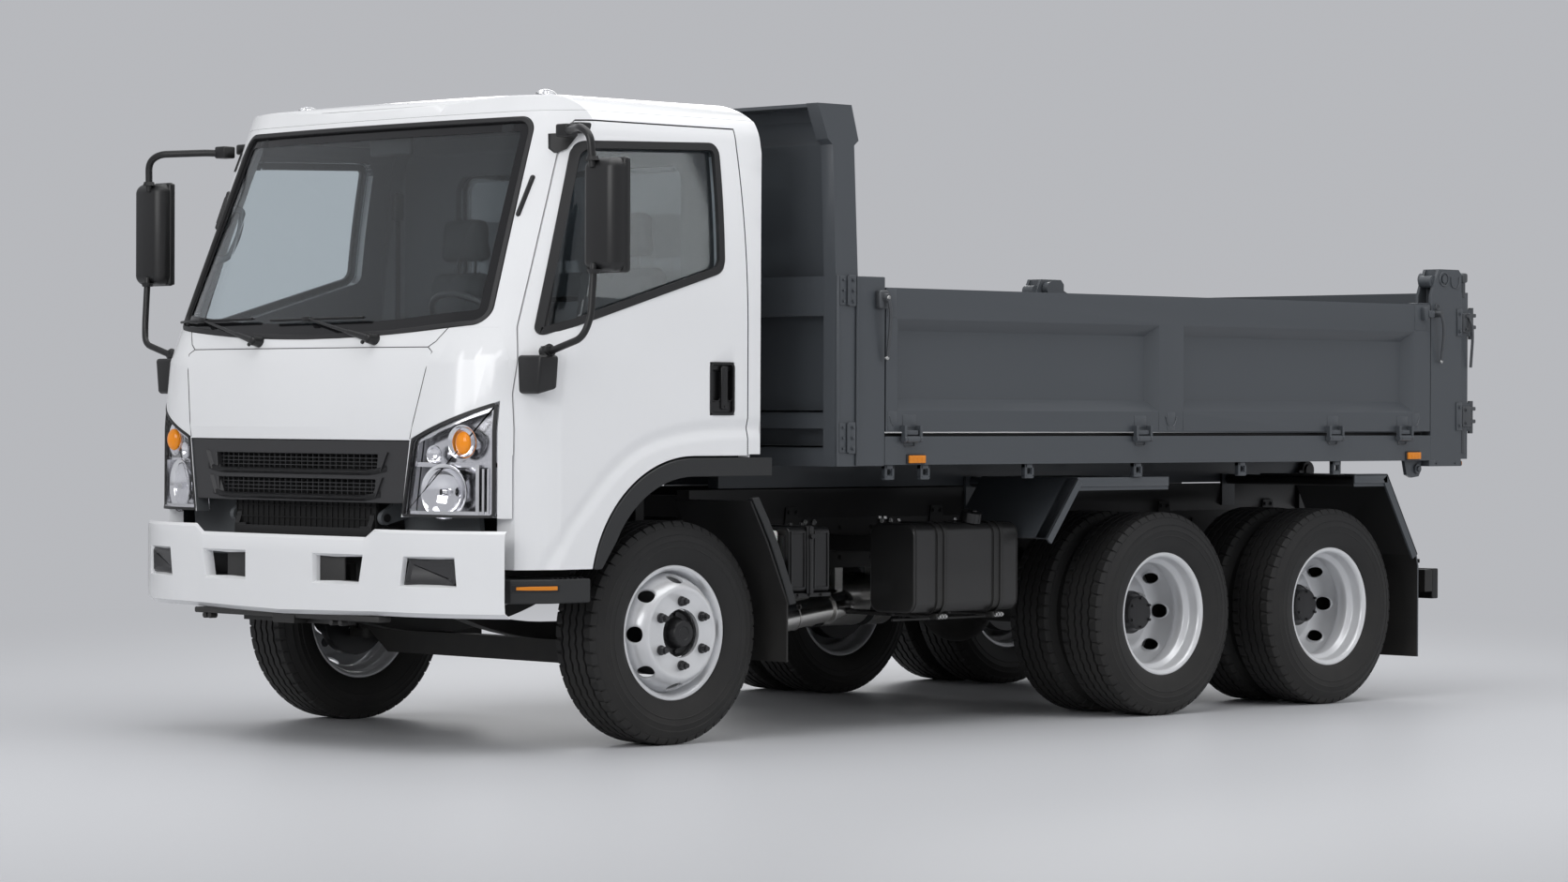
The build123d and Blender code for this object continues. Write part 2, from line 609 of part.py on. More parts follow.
def cab_solid(inset):
    """Whole cab volume, drawn in by an inset on every side but the bottom."""
    body = loft([plan_section(z, lean, inset) for z, lean in CAB_SECTIONS], ruled=True)
    half = CAB_HALF - inset
    top = ROOF_TOP - inset
    lean, lean_mid, shoulder_in, crown_in = TUMBLEHOME
    side = ThreePointArc((half, 1460), (half - lean_mid, 1775), (half - lean, 2097))
    shoulder = ThreePointArc((half - lean, 2097), (half - shoulder_in, top - 46), (half - crown_in, top - 10))
    crown = ThreePointArc((half - crown_in, top - 10), (0, top), (crown_in - half, top - 10))
    shoulder_2 = ThreePointArc((crown_in - half, top - 10), (shoulder_in - half, top - 46), (lean - half, 2097))
    side_2 = ThreePointArc((lean - half, 2097), (lean_mid - half, 1775), (-half, 1460))
    base = Polyline((-half, 1460), (-half, 500), (half, 500), (half, 1460))
    front_view = make_face([side, shoulder, crown, shoulder_2, side_2, base])
    body &= along_y(front_view, (-1200, 600))
    brow = CAB_FRONT_Y + inset + 350
    back = CAB_REAR_Y - inset
    rise = ThreePointArc((brow, 2150), (brow + 60, top - 22), (brow + 190, top))
    drop = ThreePointArc((back - 130, top), (back - 32, top - 30), (back + 16, top - 115))
    roof = Line((brow + 190, top), (back - 130, top))
    rest = Polyline((back + 16, top - 115), (back + 60, 500), (-1300, 500), (-1300, 2150), (brow, 2150))
    side_view = make_face([rise, roof, drop, rest])
    return body & along_x(side_view, (-1200, 1200))


DOOR_FRONT_Y = -747.0
DOOR_REAR_Y = 268.0
DOOR_TOP = 2150.0
DOOR_BOTTOM = 622.0
DOOR_BEND_1 = (-744.0, 1215.0)
DOOR_BEND_2 = (-708.0, 1440.0)
DOOR_LEAN_TOP = (-470.0, 2107.0)
ARCH_CENTRE = (12.0, 527.0)
ARCH_R = 476.0
ARCH_LIP_R = 406.0
WINDOW = ((-671.0, 1404.0), (160.0, 1645.0), (180.0, 2098.0), (-452.0, 2078.0))


def arch_point(radius, z=None, angle=None):
    """Point of a wheel arch circle, at a height on its front side or at an angle from straight up."""
    y0, z0 = ARCH_CENTRE
    if angle is None:
        return (y0 - math.sqrt(radius ** 2 - (z - z0) ** 2), z)
    return (y0 - radius * math.sin(math.radians(angle)), z0 + radius * math.cos(math.radians(angle)))


def door_face(grow):
    """Door outline in (Y, Z) with its arch cut-out, grown by a margin."""
    g = grow
    radius = ARCH_R - g
    foot = arch_point(radius, z=DOOR_BOTTOM - g)
    crest = arch_point(radius, angle=0)
    front = Polyline(foot, (DOOR_FRONT_Y - g, DOOR_BOTTOM - g), (DOOR_BEND_1[0] - g, DOOR_BEND_1[1]),
                     (DOOR_BEND_2[0] - g, DOOR_BEND_2[1]), (DOOR_LEAN_TOP[0] - g, DOOR_LEAN_TOP[1]),
                     (DOOR_LEAN_TOP[0] + 36, DOOR_TOP + g), (DOOR_REAR_Y + g, DOOR_TOP + g),
                     (DOOR_REAR_Y + g, crest[1]), crest)
    arch = ThreePointArc(crest, arch_point(radius, angle=38), foot)
    return make_face([front, arch])


def window_face(grow):
    """Door window outline in (Y, Z) with rounded corners, grown by a margin."""
    points = [(WINDOW[0][0] - grow, WINDOW[0][1] - grow), (WINDOW[1][0] + grow, WINDOW[1][1] - grow),
              (WINDOW[2][0] + grow, WINDOW[2][1] + grow), (WINDOW[3][0] - grow, WINDOW[3][1] + grow)]
    face = outline(*points)
    return fillet(face.vertices(), 45)


def windshield_face(grow):
    """Windshield outline in (X, Z), grown by a margin."""
    g = grow
    low = ThreePointArc((-866 - g, 1453), (0, 1405 - g), (866 + g, 1453))
    right = Line((866 + g, 1453), (798 + g, 2167 + g))
    top = Line((798 + g, 2167 + g), (-798 - g, 2167 + g))
    left = Line((-798 - g, 2167 + g), (-866 - g, 1453))
    return fillet(make_face([low, right, top, left]).vertices(), 60)


QUARTER_X = 925.0
GRILLE = ((574.0, CAB_BOTTOM), (614.0, 1058.0))
LAMP_OUT = (931.0, 1192.0)


def grille_face(grow):
    """Grille outline in (X, Z)."""
    (low_x, low_z), (high_x, high_z) = GRILLE
    return outline((-low_x - grow, low_z - 10), (low_x + grow, low_z - 10), (high_x + grow, high_z + grow),
                   (-high_x - grow, high_z + grow))


def lamp_face(grow):
    """Left headlamp outline in (X, Z)."""
    (low_x, low_z), (high_x, high_z) = GRILLE
    return outline((low_x + 6 - grow, low_z - 10), (LAMP_OUT[0] + grow, low_z - 10),
                   (LAMP_OUT[0] + grow, LAMP_OUT[1] + grow), (high_x + 6 - grow, high_z + 6 + grow))


def cab():
    """All panels of the cab, cut from one shell so that they lie flush."""
    outer = cab_solid(0)
    inner = cab_solid(CAB_WALL)
    shell = outer - inner
    side_strip = (500, 1200)
    opening = along_x(door_face(GAP / 2), side_strip)
    shell -= both_sides(opening)
    shell -= slab((-1200, 1200), (-1200, 1200), (400, CAB_BOTTOM))
    shell -= slab((-1200, 1200), (DOOR_FRONT_Y - 3, 330), (400, 1010))
    shell -= slab((-1200, 1200), (329, 600), (400, FLOOR_REAR_Z))
    shell -= both_sides(slab((QUARTER_X, 1200), (300, 600), (400, 1010)))
    shell -= along_y(windshield_face(0), (-1100, 0))
    shell -= along_y(rear_window_face(0), (100, 600))
    front_zone = slab((-1200, 1200), (-1200, DOOR_FRONT_Y - 2), (400, CAB_BELT))
    roof_zone = slab((-1200, 1200), (-1200, 600), (ROOF_SPLIT, 2400))
    back_zone = slab((-QUARTER_X, QUARTER_X), (CAB_REAR_Y - CAB_WALL - 1, 600), (400, ROOF_SPLIT))
    front = shell & front_zone
    roof = shell & roof_zone
    back = shell & back_zone
    frame = shell - front_zone - roof_zone - back_zone
    front -= along_y(grille_face(0), (-1200, -700))
    lamp_cut = along_y(lamp_face(0), (-1200, -600))
    front -= both_sides(lamp_cut)
    keep("cab_front", front)
    keep("cab_roof", roof)
    keep("cab_back", back)
    striker_x, striker_z = STRIKER
    striker = bar_y(STRIKER_R, striker_x, (DOOR_REAR_Y - 28, DOOR_REAR_Y + GAP), striker_z)
    keep("cab_frame", frame + both_sides(striker))

    grille_skin = cab_solid(4) - cab_solid(34)
    grille = grille_skin & along_y(grille_face(-SEAT), (-1200, -700))
    grille &= slab((-1200, 1200), (-1200, 0), (CAB_BOTTOM, 1300))
    for side in (-1, 1):
        grille -= along_y(outline((side * 90, 900), (side * 90, 1020), (side * 520, 1020), (side * 480, 900)),
                          (-1200, -700))
    keep("grille", grille)
    lamp_skin = cab_solid(3) - cab_solid(52)
    lamp = lamp_skin & along_y(lamp_face(-SEAT), (-1200, -600))
    lamp &= slab((0, 1200), (-1200, DOOR_FRONT_Y - 8), (CAB_BOTTOM, 1300))
    keep("headlamps", both_sides(lamp))

    glass_skin = cab_solid(12) - cab_solid(18)
    keep("windshield", glass_skin & along_y(windshield_face(-SEAT), (-1100, 0)))
    keep("rear_window", along_y(rear_window_face(-SEAT), (CAB_REAR_Y - 30, CAB_REAR_Y - 24)))

    door = shell_door(outer, inner)
    keep("door_left", door)
    keep("door_right", other_side(door))
    pane = (cab_solid(20) - cab_solid(25)) & along_x(window_face(-SEAT), side_strip)
    keep("door_glass_left", pane)
    keep("door_glass_right", other_side(pane))


def shell_door(outer, inner):
    """Left door: the shell inside the door outline, with its window cut."""
    strip_x = (500, 1200)
    door = (outer - inner) & along_x(door_face(-GAP / 2), strip_x)
    reach = STRIKER_R + SEAT
    latch = slab((STRIKER[0] - 40, STRIKER[0] + reach), (DOOR_REAR_Y - 36, DOOR_REAR_Y + 1),
                 (STRIKER[1] - reach, STRIKER[1] + reach))
    cup = slab((CAB_HALF - HANDLE_DEPTH, CAB_HALF + 1), HANDLE_Y, HANDLE_Z)
    return door - along_x(window_face(0), strip_x) - latch - cup


def rear_window_face(grow):
    """Rear window outline in (X, Z)."""
    g = grow
    face = outline((-620 - g, 1560 - g), (620 + g, 1560 - g), (620 + g, 2040 + g), (-620 - g, 2040 + g))
    return fillet(face.vertices(), 60)


FLOOR_HALF = 938.0
WELL_Y = (-740.0, -440.0)
TUNNEL_HALF = 400.0


def cab_floor():
    """Footwells, engine tunnel, rear floor over the wheels and the seat box."""
    rear = slab((-FLOOR_HALF, FLOOR_HALF), (WELL_Y[1], CAB_REAR_Y - CAB_WALL - SEAT),
                (FLOOR_REAR_Z, FLOOR_REAR_Z + FLOOR_T))
    well = slab((TUNNEL_HALF, FLOOR_HALF), WELL_Y, (FLOOR_STEP_Z, FLOOR_STEP_Z + FLOOR_T))
    well += slab((TUNNEL_HALF, FLOOR_HALF), (WELL_Y[1] - FLOOR_T, WELL_Y[1]),
                 (FLOOR_STEP_Z, FLOOR_REAR_Z + FLOOR_T))
    well += slab((TUNNEL_HALF, TUNNEL_HALF + FLOOR_T), WELL_Y, (FLOOR_STEP_Z, FLOOR_REAR_Z + FLOOR_T))
    toe = outline((WELL_Y[0], FLOOR_STEP_Z), (WELL_Y[0] + FLOOR_T, FLOOR_STEP_Z), (-760 + FLOOR_T, 860),
                  (-760 + FLOOR_T, 1150), (-760, 1150), (-760, 860))
    well += along_x(toe, (TUNNEL_HALF, 800))
    tunnel = slab((-TUNNEL_HALF, TUNNEL_HALF), (-760, WELL_Y[1]), (FLOOR_REAR_Z, FLOOR_REAR_Z + FLOOR_T))
    seat_box = slab((-860, 860), (-230, 300), (FLOOR_REAR_Z + FLOOR_T, SEAT_Z - SEAT))
    whole = (rear + both_sides(well) + tunnel + seat_box) & cab_solid(CAB_WALL + GAP)
    y, z = CAB_PIVOT
    ear = along_x(outline((y - 10, z + 22), (y + 4, z - 23), (-750, z), (-750, z + 90)), CAB_EAR_X)
    ear += bar_x(24, CAB_EAR_X, y, z)
    ear -= bar_x(CAB_PIN_R + PIN_PLAY, CAB_EAR_X, y, z)
    return whole + both_sides(ear) - both_sides(bar_z(DOOR_SWEEP_R, *DOOR_HINGE, (500, 1300)))


SEAT_Z = 1120.0
SEATS = ((400.0, 240.0), (-330.0, 330.0))     # middle X, half width


def seats():
    """Driver's seat and the double passenger seat as plain soft solids."""
    group = Part()
    for middle, half in SEATS:
        x = (middle - half, middle + half)
        side = outline((-220, SEAT_Z), (310, SEAT_Z), (322, 1700), (235, 1700), (150, SEAT_Z + 120),
                       (-220, SEAT_Z + 130))
        group += along_x(side, x)
    for middle in (400.0, -180.0, -500.0):
        group += slab((middle - 130, middle + 130), (240, 315), (1700, 1880))
    return group


def dashboard():
    """Dashboard across the cab below the windshield."""
    side = outline((-738, 1160), (-640, 1150), (-560, 1210), (-545, 1330), (-600, 1405), (-780, 1400),
                   (-790, 1330), (-738, 1300))
    board = along_x(side, (-900, 900)) & cab_solid(CAB_WALL + SEAT)
    board -= both_sides(bar_z(DOOR_SWEEP_R, *DOOR_HINGE, (1000, 1500)))
    return board - steering_column(SEAT)


STEER_MIDDLE = (400.0, -400.0, 1430.0)
STEER_R = 205.0


def steering_wheel():
    """Rim, three spokes, boss and the column into the dashboard."""
    place = Pos(*STEER_MIDDLE) * Rot(-40, 0, 0)
    ring = Torus(STEER_R, 14)
    boss = Cylinder(55, 40)
    for angle in (90, 210, 330):
        boss += Rot(0, 0, angle) * Pos(STEER_R / 2, 0, 0) * Box(STEER_R, 34, 12)
    return place * (ring + boss) + steering_column(0)


def steering_column(grow):
    """Steering column, grown by a margin."""
    return Pos(*STEER_MIDDLE) * Rot(-40, 0, 0) * Pos(0, 0, -110) * Cylinder(26 + grow, 200 + 2 * grow)


def arch_trims():
    """Black wheel arch lips under the doors."""
    radius = ARCH_R - GAP
    foot = arch_point(radius, z=DOOR_BOTTOM)
    crest = arch_point(radius, angle=0)
    upper = ThreePointArc(foot, arch_point(radius, angle=38), crest)
    rear = CAB_REAR_Y - 2
    low_crest = arch_point(ARCH_LIP_R, angle=0)
    back = Polyline(crest, (rear, crest[1]), (rear, low_crest[1]), low_crest)
    low_end = arch_point(ARCH_LIP_R, angle=62)
    lower = ThreePointArc(low_crest, arch_point(ARCH_LIP_R, angle=31), low_end)
    front = Polyline(low_end, (-414, DOOR_BOTTOM), foot)
    return both_sides(along_x(make_face([upper, back, lower, front]), (FLOOR_HALF + SEAT, CAB_HALF + 4)))


def roof_lamps():
    """Two marker lamps on the roof's front."""
    lamp = slab((625, 705), (-390, -300), (2236, 2272))
    return both_sides(lamp) - cab_solid(0)


# ------------------------------------------------------------------ mirrors
MIRROR_Z = (1622.0, 2001.0)
MIRROR_X = (1180.0, 1345.0)
MIRROR_Y = (-655.0, -560.0)


def mirror_set():
    """Left mirror: head, upper and lower tube arm and their door brackets."""
    head = slab(MIRROR_X, MIRROR_Y, MIRROR_Z)
    head = fillet(head.edges().filter_by(Axis.Z), 38)
    upper = tube_path([(930, -470, 2090), (985, -500, 2105), (1203, -620, 2104), (1240, -608, 1990)], 22, 12)
    lower = tube_path([(1252, -610, 1640), (1230, -620, 1470), (1120, -640, 1390), (1052, -600, 1380)], 22, 12)
    foot = slab((900, 975), (-478, -405), (2088, 2132)) + slab((1000, 1066), (-640, -570), (1345, 1415))
    return head + upper + lower + foot - cab_solid(-SEAT)


# ------------------------------------------------------------------ bed
HINGE_STATIONS = (975.0, 2233.0, 3393.0, 3840.0)
KNUCKLE_HALF = 32.0
HOOK_STATIONS = (888.0, 1072.0, 1627.0, 2237.0, 2851.0, 3437.0)
BEARERS = 9


def bed_floor():
    """Floor plate on cross bearers, two long sills with the pivot lugs, and the outer side sills."""
    front, rear = BED_FRONT, REAR_POST_Y[1]
    plate = slab((-BED_HALF + 60, BED_HALF - 60), (front, rear), (BED_FLOOR_TOP - BED_FLOOR_T, BED_FLOOR_TOP))
    under = BED_FLOOR_TOP - BED_FLOOR_T
    bed = plate
    pitch = (rear - front - 80) / (BEARERS - 1)
    for index in range(BEARERS):
        y = front + 40 + pitch * index
        bed += slab((-BED_HALF + 60, BED_HALF - 60), (y - 30, y + 30), (SILL_Z[0], under))
    long_low = SUBFRAME_TOP + GAP
    long_sill = slab((RAIL_IN + 4, RAIL_OUT - 6), (front + 40, TIP_PIVOT[0]), (long_low, under))
    long_sill += bar_x(TIP_PIVOT[1] - long_low, (RAIL_IN + 4, RAIL_OUT - 6), *TIP_PIVOT)
    side_sill = slab((BED_HALF - 61, BED_HALF), (FRONT_POST_Y[1] + SEAT, REAR_POST_Y[0] - SEAT), SILL_Z)
    side = long_sill + side_sill
    for y in HINGE_STATIONS:
        side += hinge_knuckle(y)
    for y in HOOK_STATIONS:
        side += rope_hook(y)
    bed += both_sides(side)
    bed -= bar_x(TIP_PIN_R + PIN_PLAY, (-500, 500), *TIP_PIVOT)
    eye_y, eye_z = HOIST_EYE
    bed -= slab((-48, 48), (eye_y - 120, eye_y + 120), (SILL_Z[0] - 1, under))
    for x in (-66, 48):
        bed += slab((x, x + 18), (eye_y - 60, eye_y + 60), (eye_z - 40, under))
    return bed


def hinge_knuckle(y):
    """Fixed knuckle of a side hinge on the sill."""
    x, z = SIDE_HINGE
    span = (y - KNUCKLE_HALF, y + KNUCKLE_HALF)
    knuckle_body = bar_y(12, x, span, z) + slab((BED_HALF - 2, x), span, (z - 12, z + 6))
    return knuckle_body - bar_y(SIDE_PIN_R + PIN_PLAY, x, (span[0] - 1, span[1] + 1), z)


def rope_hook(y):
    """Plate with a hole under the sill."""
    plate = slab((BED_HALF - 26, BED_HALF - 16), (y - 22, y + 22), (SILL_Z[0] - 50, SILL_Z[0] + 2))
    return plate - bar_x(11, (BED_HALF - 40, BED_HALF), y, SILL_Z[0] - 26)


RECESSES = ((914.0, 2341.0), (2484.0, 3917.0))
RECESS_Z = (1165.0, 1494.0)
RECESS_DEPTH = 40.0
RECESS_SLOPE = 42.0


def drop_side():
    """Left drop side with two tapered recesses, a rail on top and its hinge ears."""
    y = (FRONT_POST_Y[1] + GAP, REAR_POST_Y[0] - GAP)
    panel = slab((BED_HALF - SIDE_T, BED_HALF), y, SIDE_Z)
    for low, high in RECESSES:
        s = RECESS_SLOPE
        mouth = Plane((BED_HALF, 0, 0), x_dir=(0, 1, 0), z_dir=(1, 0, 0))
        floor = Plane((BED_HALF - RECESS_DEPTH, 0, 0), x_dir=(0, 1, 0), z_dir=(1, 0, 0))
        wide = outline((low, RECESS_Z[0]), (high, RECESS_Z[0]), (high, RECESS_Z[1]), (low, RECESS_Z[1]))
        narrow = outline((low + s, RECESS_Z[0] + s), (high - s, RECESS_Z[0] + s), (high - s, RECESS_Z[1] - s),
                         (low + s, RECESS_Z[1] - s))
        panel -= loft([floor * narrow, mouth * wide], ruled=True)
    x, z = SIDE_HINGE
    for station in HINGE_STATIONS:
        for end in (-1, 1):
            near = station + end * (KNUCKLE_HALF + 2)
            far = near + end * 12
            span = (min(near, far), max(near, far))
            panel += bar_y(12, x, span, z) + slab((x - 8, x + 8), span, (z, SIDE_Z[0] + 22))
            panel += slab((BED_HALF - 2, x + 8), span, (SIDE_Z[0] + 2, SIDE_Z[0] + 22))
        reach = KNUCKLE_HALF + 14
        panel += bar_y(SIDE_PIN_R, x, (station - reach, station + reach), z)
    return panel


HEADBOARD_END = ((600, 966), (711, 966), (711, 1643), (690, 2105), (712, 2123), (676, 2248), (508, 2248),
                 (560, 2123), (583, 2105), (600, 1643))
HEADBOARD_T = 60.0


def headboard():
    """Tall front wall: end columns, leaning sheet, cross rails and a top box."""
    end = along_x(outline(*HEADBOARD_END), (BED_HALF - HEADBOARD_T, BED_HALF))
    sheet = outline((660, 966), (680, 966), (680, 1643), (655, 2115), (635, 2115), (660, 1643))
    reach = BED_HALF - HEADBOARD_T + 1
    wall = along_x(sheet, (-reach, reach))
    for low, high in ((966, 1040), (1100, 1165), (1500, 1640)):
        wall += slab((-reach, reach), (606, 662), (low, high))
    top = outline((520, 2236), (520, 2248), (676, 2248), (690, 2200), (655, 2110), (635, 2110), (664, 2195),
                  (650, 2236))
    wall += along_x(top, (-reach, reach))
    foot = slab((-reach, reach), (680, BED_FRONT), (SILL_Z[0], BED_FLOOR_TOP - BED_FLOOR_T))
    return wall + both_sides(end) + foot


def front_posts():
    """Corner posts beside the headboard."""
    return both_sides(slab((BED_HALF - 90, BED_HALF), (FRONT_POST_Y[0], FRONT_POST_Y[1]), FRONT_POST_Z)
                      - slab((0, BED_HALF - 60), (BED_FRONT, 900), (SILL_Z[0] - 10, BED_FLOOR_TOP)))


def rear_posts():
    """Tall rear posts with the tailgate's pivot bores at the top."""
    y0, y1 = REAR_POST_Y
    z0, z1 = REAR_POST_Z
    side = outline((y0, z0), (y1, z0), (y1, z1 - 20), (y1 - 20, z1), (y0 + 50, z1), (y0 + 20, z1 - 60),
                   (y0, z1 - 110))
    post = along_x(side, (BED_HALF - POST_T, BED_HALF))
    post -= bar_x(GATE_PIN_R + PIN_PLAY, (BED_HALF - POST_T - 1, BED_HALF + 1), *GATE_PIVOT)
    post -= slab((0, BED_HALF - 60 + SEAT), (y0 - 1, y1 + 1), (SILL_Z[0] - 0.5, BED_FLOOR_TOP + 0.5))
    return both_sides(post)


def tailgate():
    """Tailgate sheet with a frame, two top arms and their pivot pins."""
    y0, y1 = GATE_Y
    half = BED_HALF - 12
    gate = slab((-half, half), (y0, y0 + 12), GATE_Z)
    for low, high in ((GATE_Z[0], GATE_Z[0] + 90), (GATE_Z[1] - 90, GATE_Z[1])):
        gate += slab((-half, half), (y0, y1), (low, high))
    for x in (-half, -360, 300, half - 60):
        gate += slab((x, x + 60), (y0, y1), GATE_Z)
    y, z = GATE_PIVOT
    arm_x = (BED_HALF - POST_T - GAP - 28, BED_HALF - POST_T - GAP)
    arm = along_x(outline((y0 + 10, GATE_Z[1] - 80), (y1, GATE_Z[1] - 80), (y1, GATE_Z[1]), (y, z + 28),
                          (y, z - 28), (y0 + 10, GATE_Z[1] - 60)), arm_x)
    arm += bar_x(28, arm_x, y, z)
    arm += bar_x(GATE_PIN_R, (arm_x[0], BED_HALF + 6), y, z)
    for low, high in GATE_HINGES:
        knuckle_x = half - 16
        arm += bar_z(16, knuckle_x, REAR_REACH - 16, (low, high))
        arm += slab((knuckle_x - 16, knuckle_x + 16), (y1 - 1, REAR_REACH - 16), (low + 8, high - 8))
    return gate + both_sides(arm)


# ------------------------------------------------------------------ hoist
def hoist():
    """Barrel hinged on the frame and the rod that lifts the bed."""
    base = Vector(0, *HOIST_BASE)
    eye = Vector(0, *HOIST_EYE)
    run = eye - base
    length = run.length
    place = Plane(base, x_dir=(1, 0, 0), z_dir=run)
    foot = Rot(0, 90, 0) * Cylinder(42, 2 * BARREL_R)
    tube = Pos(0, 0, 40) * Cylinder(BARREL_R, length - 160, align=(Align.CENTER, Align.CENTER, Align.MIN))
    bore = Pos(0, 0, 60) * Cylinder(40, length, align=(Align.CENTER, Align.CENTER, Align.MIN))
    barrel = foot + tube - bore - Rot(0, 90, 0) * Cylinder(HOIST_PIN_R + PIN_PLAY, 3 * BARREL_R)
    rod = Pos(0, 0, 70) * Cylinder(40 - PIN_PLAY, length - 115, align=(Align.CENTER, Align.CENTER, Align.MIN))
    head = Pos(0, 0, length) * Rot(0, 90, 0) * Cylinder(46, 76)
    head -= Pos(0, 0, length) * Rot(0, 90, 0) * Cylinder(HOIST_PIN_R + 6, 90)
    keep("hoist_barrel", place * barrel)
    keep("hoist_rod", place * (rod + head))


# ------------------------------------------------------------------ build every node
place_wheels()
keep("front_axle", front_axle())
left_knuckle = knuckle()
keep("knuckle_left", left_knuckle)
keep("knuckle_right", other_side(left_knuckle))
keep("tie_rod", tie_rod())
keep("leaf_springs", leaf_springs())
keep("rear_axles", rear_axles())
keep("frame_rails", frame_rails() + hoist_cradle())
keep("subframe", subframe())
keep("drive_train", drive_train())
keep("fuel_tank", fuel_tank())
keep("battery_box", battery_box())
keep("exhaust", exhaust())
keep("side_steps", side_steps())
keep("front_mudguards", front_mudguards())
keep("rear_mudguards", rear_mudguards())
keep("tail_bar", tail_bar())
keep("tail_lamps", tail_lamps())
keep("front_bumper", front_bumper())
cab()
keep("cab_floor", cab_floor())
keep("seats", seats())
keep("dashboard", dashboard())
keep("steering_wheel", steering_wheel())
keep("arch_trims", arch_trims())
keep("roof_lamps", roof_lamps())
left_mirror = mirror_set()
keep("mirror_left", left_mirror)
keep("mirror_right", other_side(left_mirror))
keep("bed_floor", bed_floor())
left_side = drop_side()
keep("drop_side_left", left_side)
keep("drop_side_right", other_side(left_side))
keep("headboard", headboard())
keep("front_posts", front_posts())
keep("rear_posts", rear_posts())
keep("tailgate", tailgate())
hoist()

os.makedirs("parts", exist_ok=True)
for node, piece in PIECES.items():
    export_step(piece, "parts/" + node + ".step")
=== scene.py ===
import json
import math

import bmesh
import bpy
from mathutils import Matrix, Vector

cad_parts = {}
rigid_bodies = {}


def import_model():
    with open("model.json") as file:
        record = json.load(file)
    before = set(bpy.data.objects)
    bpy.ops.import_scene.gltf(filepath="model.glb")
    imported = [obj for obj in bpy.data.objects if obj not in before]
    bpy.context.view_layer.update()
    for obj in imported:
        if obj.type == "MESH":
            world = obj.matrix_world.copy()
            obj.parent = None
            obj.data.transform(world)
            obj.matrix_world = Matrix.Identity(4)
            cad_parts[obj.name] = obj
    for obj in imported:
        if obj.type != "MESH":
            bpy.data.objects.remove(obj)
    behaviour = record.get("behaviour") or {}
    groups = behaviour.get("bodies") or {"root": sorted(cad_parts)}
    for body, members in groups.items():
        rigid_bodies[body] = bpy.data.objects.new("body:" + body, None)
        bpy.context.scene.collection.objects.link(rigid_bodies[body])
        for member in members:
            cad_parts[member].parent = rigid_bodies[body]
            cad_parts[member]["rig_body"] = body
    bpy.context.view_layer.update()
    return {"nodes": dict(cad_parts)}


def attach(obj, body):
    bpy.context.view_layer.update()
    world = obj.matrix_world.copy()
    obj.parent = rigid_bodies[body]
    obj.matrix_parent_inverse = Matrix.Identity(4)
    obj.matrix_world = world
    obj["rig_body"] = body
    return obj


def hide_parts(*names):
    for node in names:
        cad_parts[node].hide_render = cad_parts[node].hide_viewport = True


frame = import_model()
nodes = frame["nodes"]
scene = bpy.context.scene

# ---------------------------------------------------------------- studio
# A pale seamless floor under soft lamps, with the camera at the truck's left front corner.
# The floor fades into the backdrop's grey a few metres behind the truck.
ROW_SHIFT = 1667.5                     # millimetres from the front axle to the middle of the truck
CAMERA_TURN = math.radians(45.771)
CAMERA_DIP = math.radians(0.396)
CAMERA_ROLL = math.radians(0.222)
CAMERA_PLACE = (12.130, -12.0175, 1.163)
LENS, SENSOR = 100.77, 36.0
BACKDROP = (0.475, 0.483, 0.507)
FLOOR_GREY = (0.545, 0.555, 0.58)
TO_ROW = Matrix.Scale(0.001, 4) @ Matrix.Translation((0, -ROW_SHIFT, 0))

sight = Vector((-math.sin(CAMERA_TURN) * math.cos(CAMERA_DIP), math.cos(CAMERA_TURN) * math.cos(CAMERA_DIP),
                -math.sin(CAMERA_DIP)))
level = sight.cross(Vector((0, 0, 1))).normalized()
upward = level.cross(sight)
right = level * math.cos(CAMERA_ROLL) + upward * math.sin(CAMERA_ROLL)
top = upward * math.cos(CAMERA_ROLL) - level * math.sin(CAMERA_ROLL)
camera_data = bpy.data.cameras.new("camera")
camera_data.lens, camera_data.sensor_width = LENS, SENSOR
camera = bpy.data.objects.new("camera", camera_data)
camera.matrix_world = Matrix.Translation(CAMERA_PLACE) @ Matrix((right, top, -sight)).transposed().to_4x4()
scene.collection.objects.link(camera)
scene.camera = camera
scene.view_settings.view_transform = "Standard"


def link(tree, start, end):
    tree.links.new(start, end)


def fed(tree, kind, *sources, **settings):
    """A shader node whose first inputs take the given sockets or values; gives its first output."""
    node = add_node(tree, kind, **settings)
    for index, source in enumerate(sources):
        if isinstance(source, bpy.types.NodeSocket):
            link(tree, source, node.inputs[index])
        else:
            node.inputs[index].default_value = source
    return node.outputs[0]


def new_group(name, inputs, outputs):
    """Empty shader node group with named sockets; returns it with its input and output nodes."""
    group = bpy.data.node_groups.new(name, "ShaderNodeTree")
    for label, kind, value in inputs:
        socket = group.interface.new_socket(label, in_out="INPUT", socket_type="NodeSocket" + kind)
        socket.default_value = value
    for label, kind in outputs:
        group.interface.new_socket(label, in_out="OUTPUT", socket_type="NodeSocket" + kind)
    return group, group.nodes.new("NodeGroupInput"), group.nodes.new("NodeGroupOutput")


def add_node(tree, kind, **settings):
    """A shader node with its settings, where a setting named for a socket fills that socket."""
    node = tree.nodes.new("ShaderNode" + kind)
    for label, value in settings.items():
        if hasattr(node, label):
            setattr(node, label, value)
        else:
            node.inputs[label.replace("_", " ")].default_value = value
    return node


def seen_directly(tree):
    """1 where the camera looks at something itself or through clear material."""
    path = add_node(tree, "LightPath")
    return fed(tree, "Math", path.outputs["Is Camera Ray"], path.outputs["Is Transmission Ray"], operation="MAXIMUM")


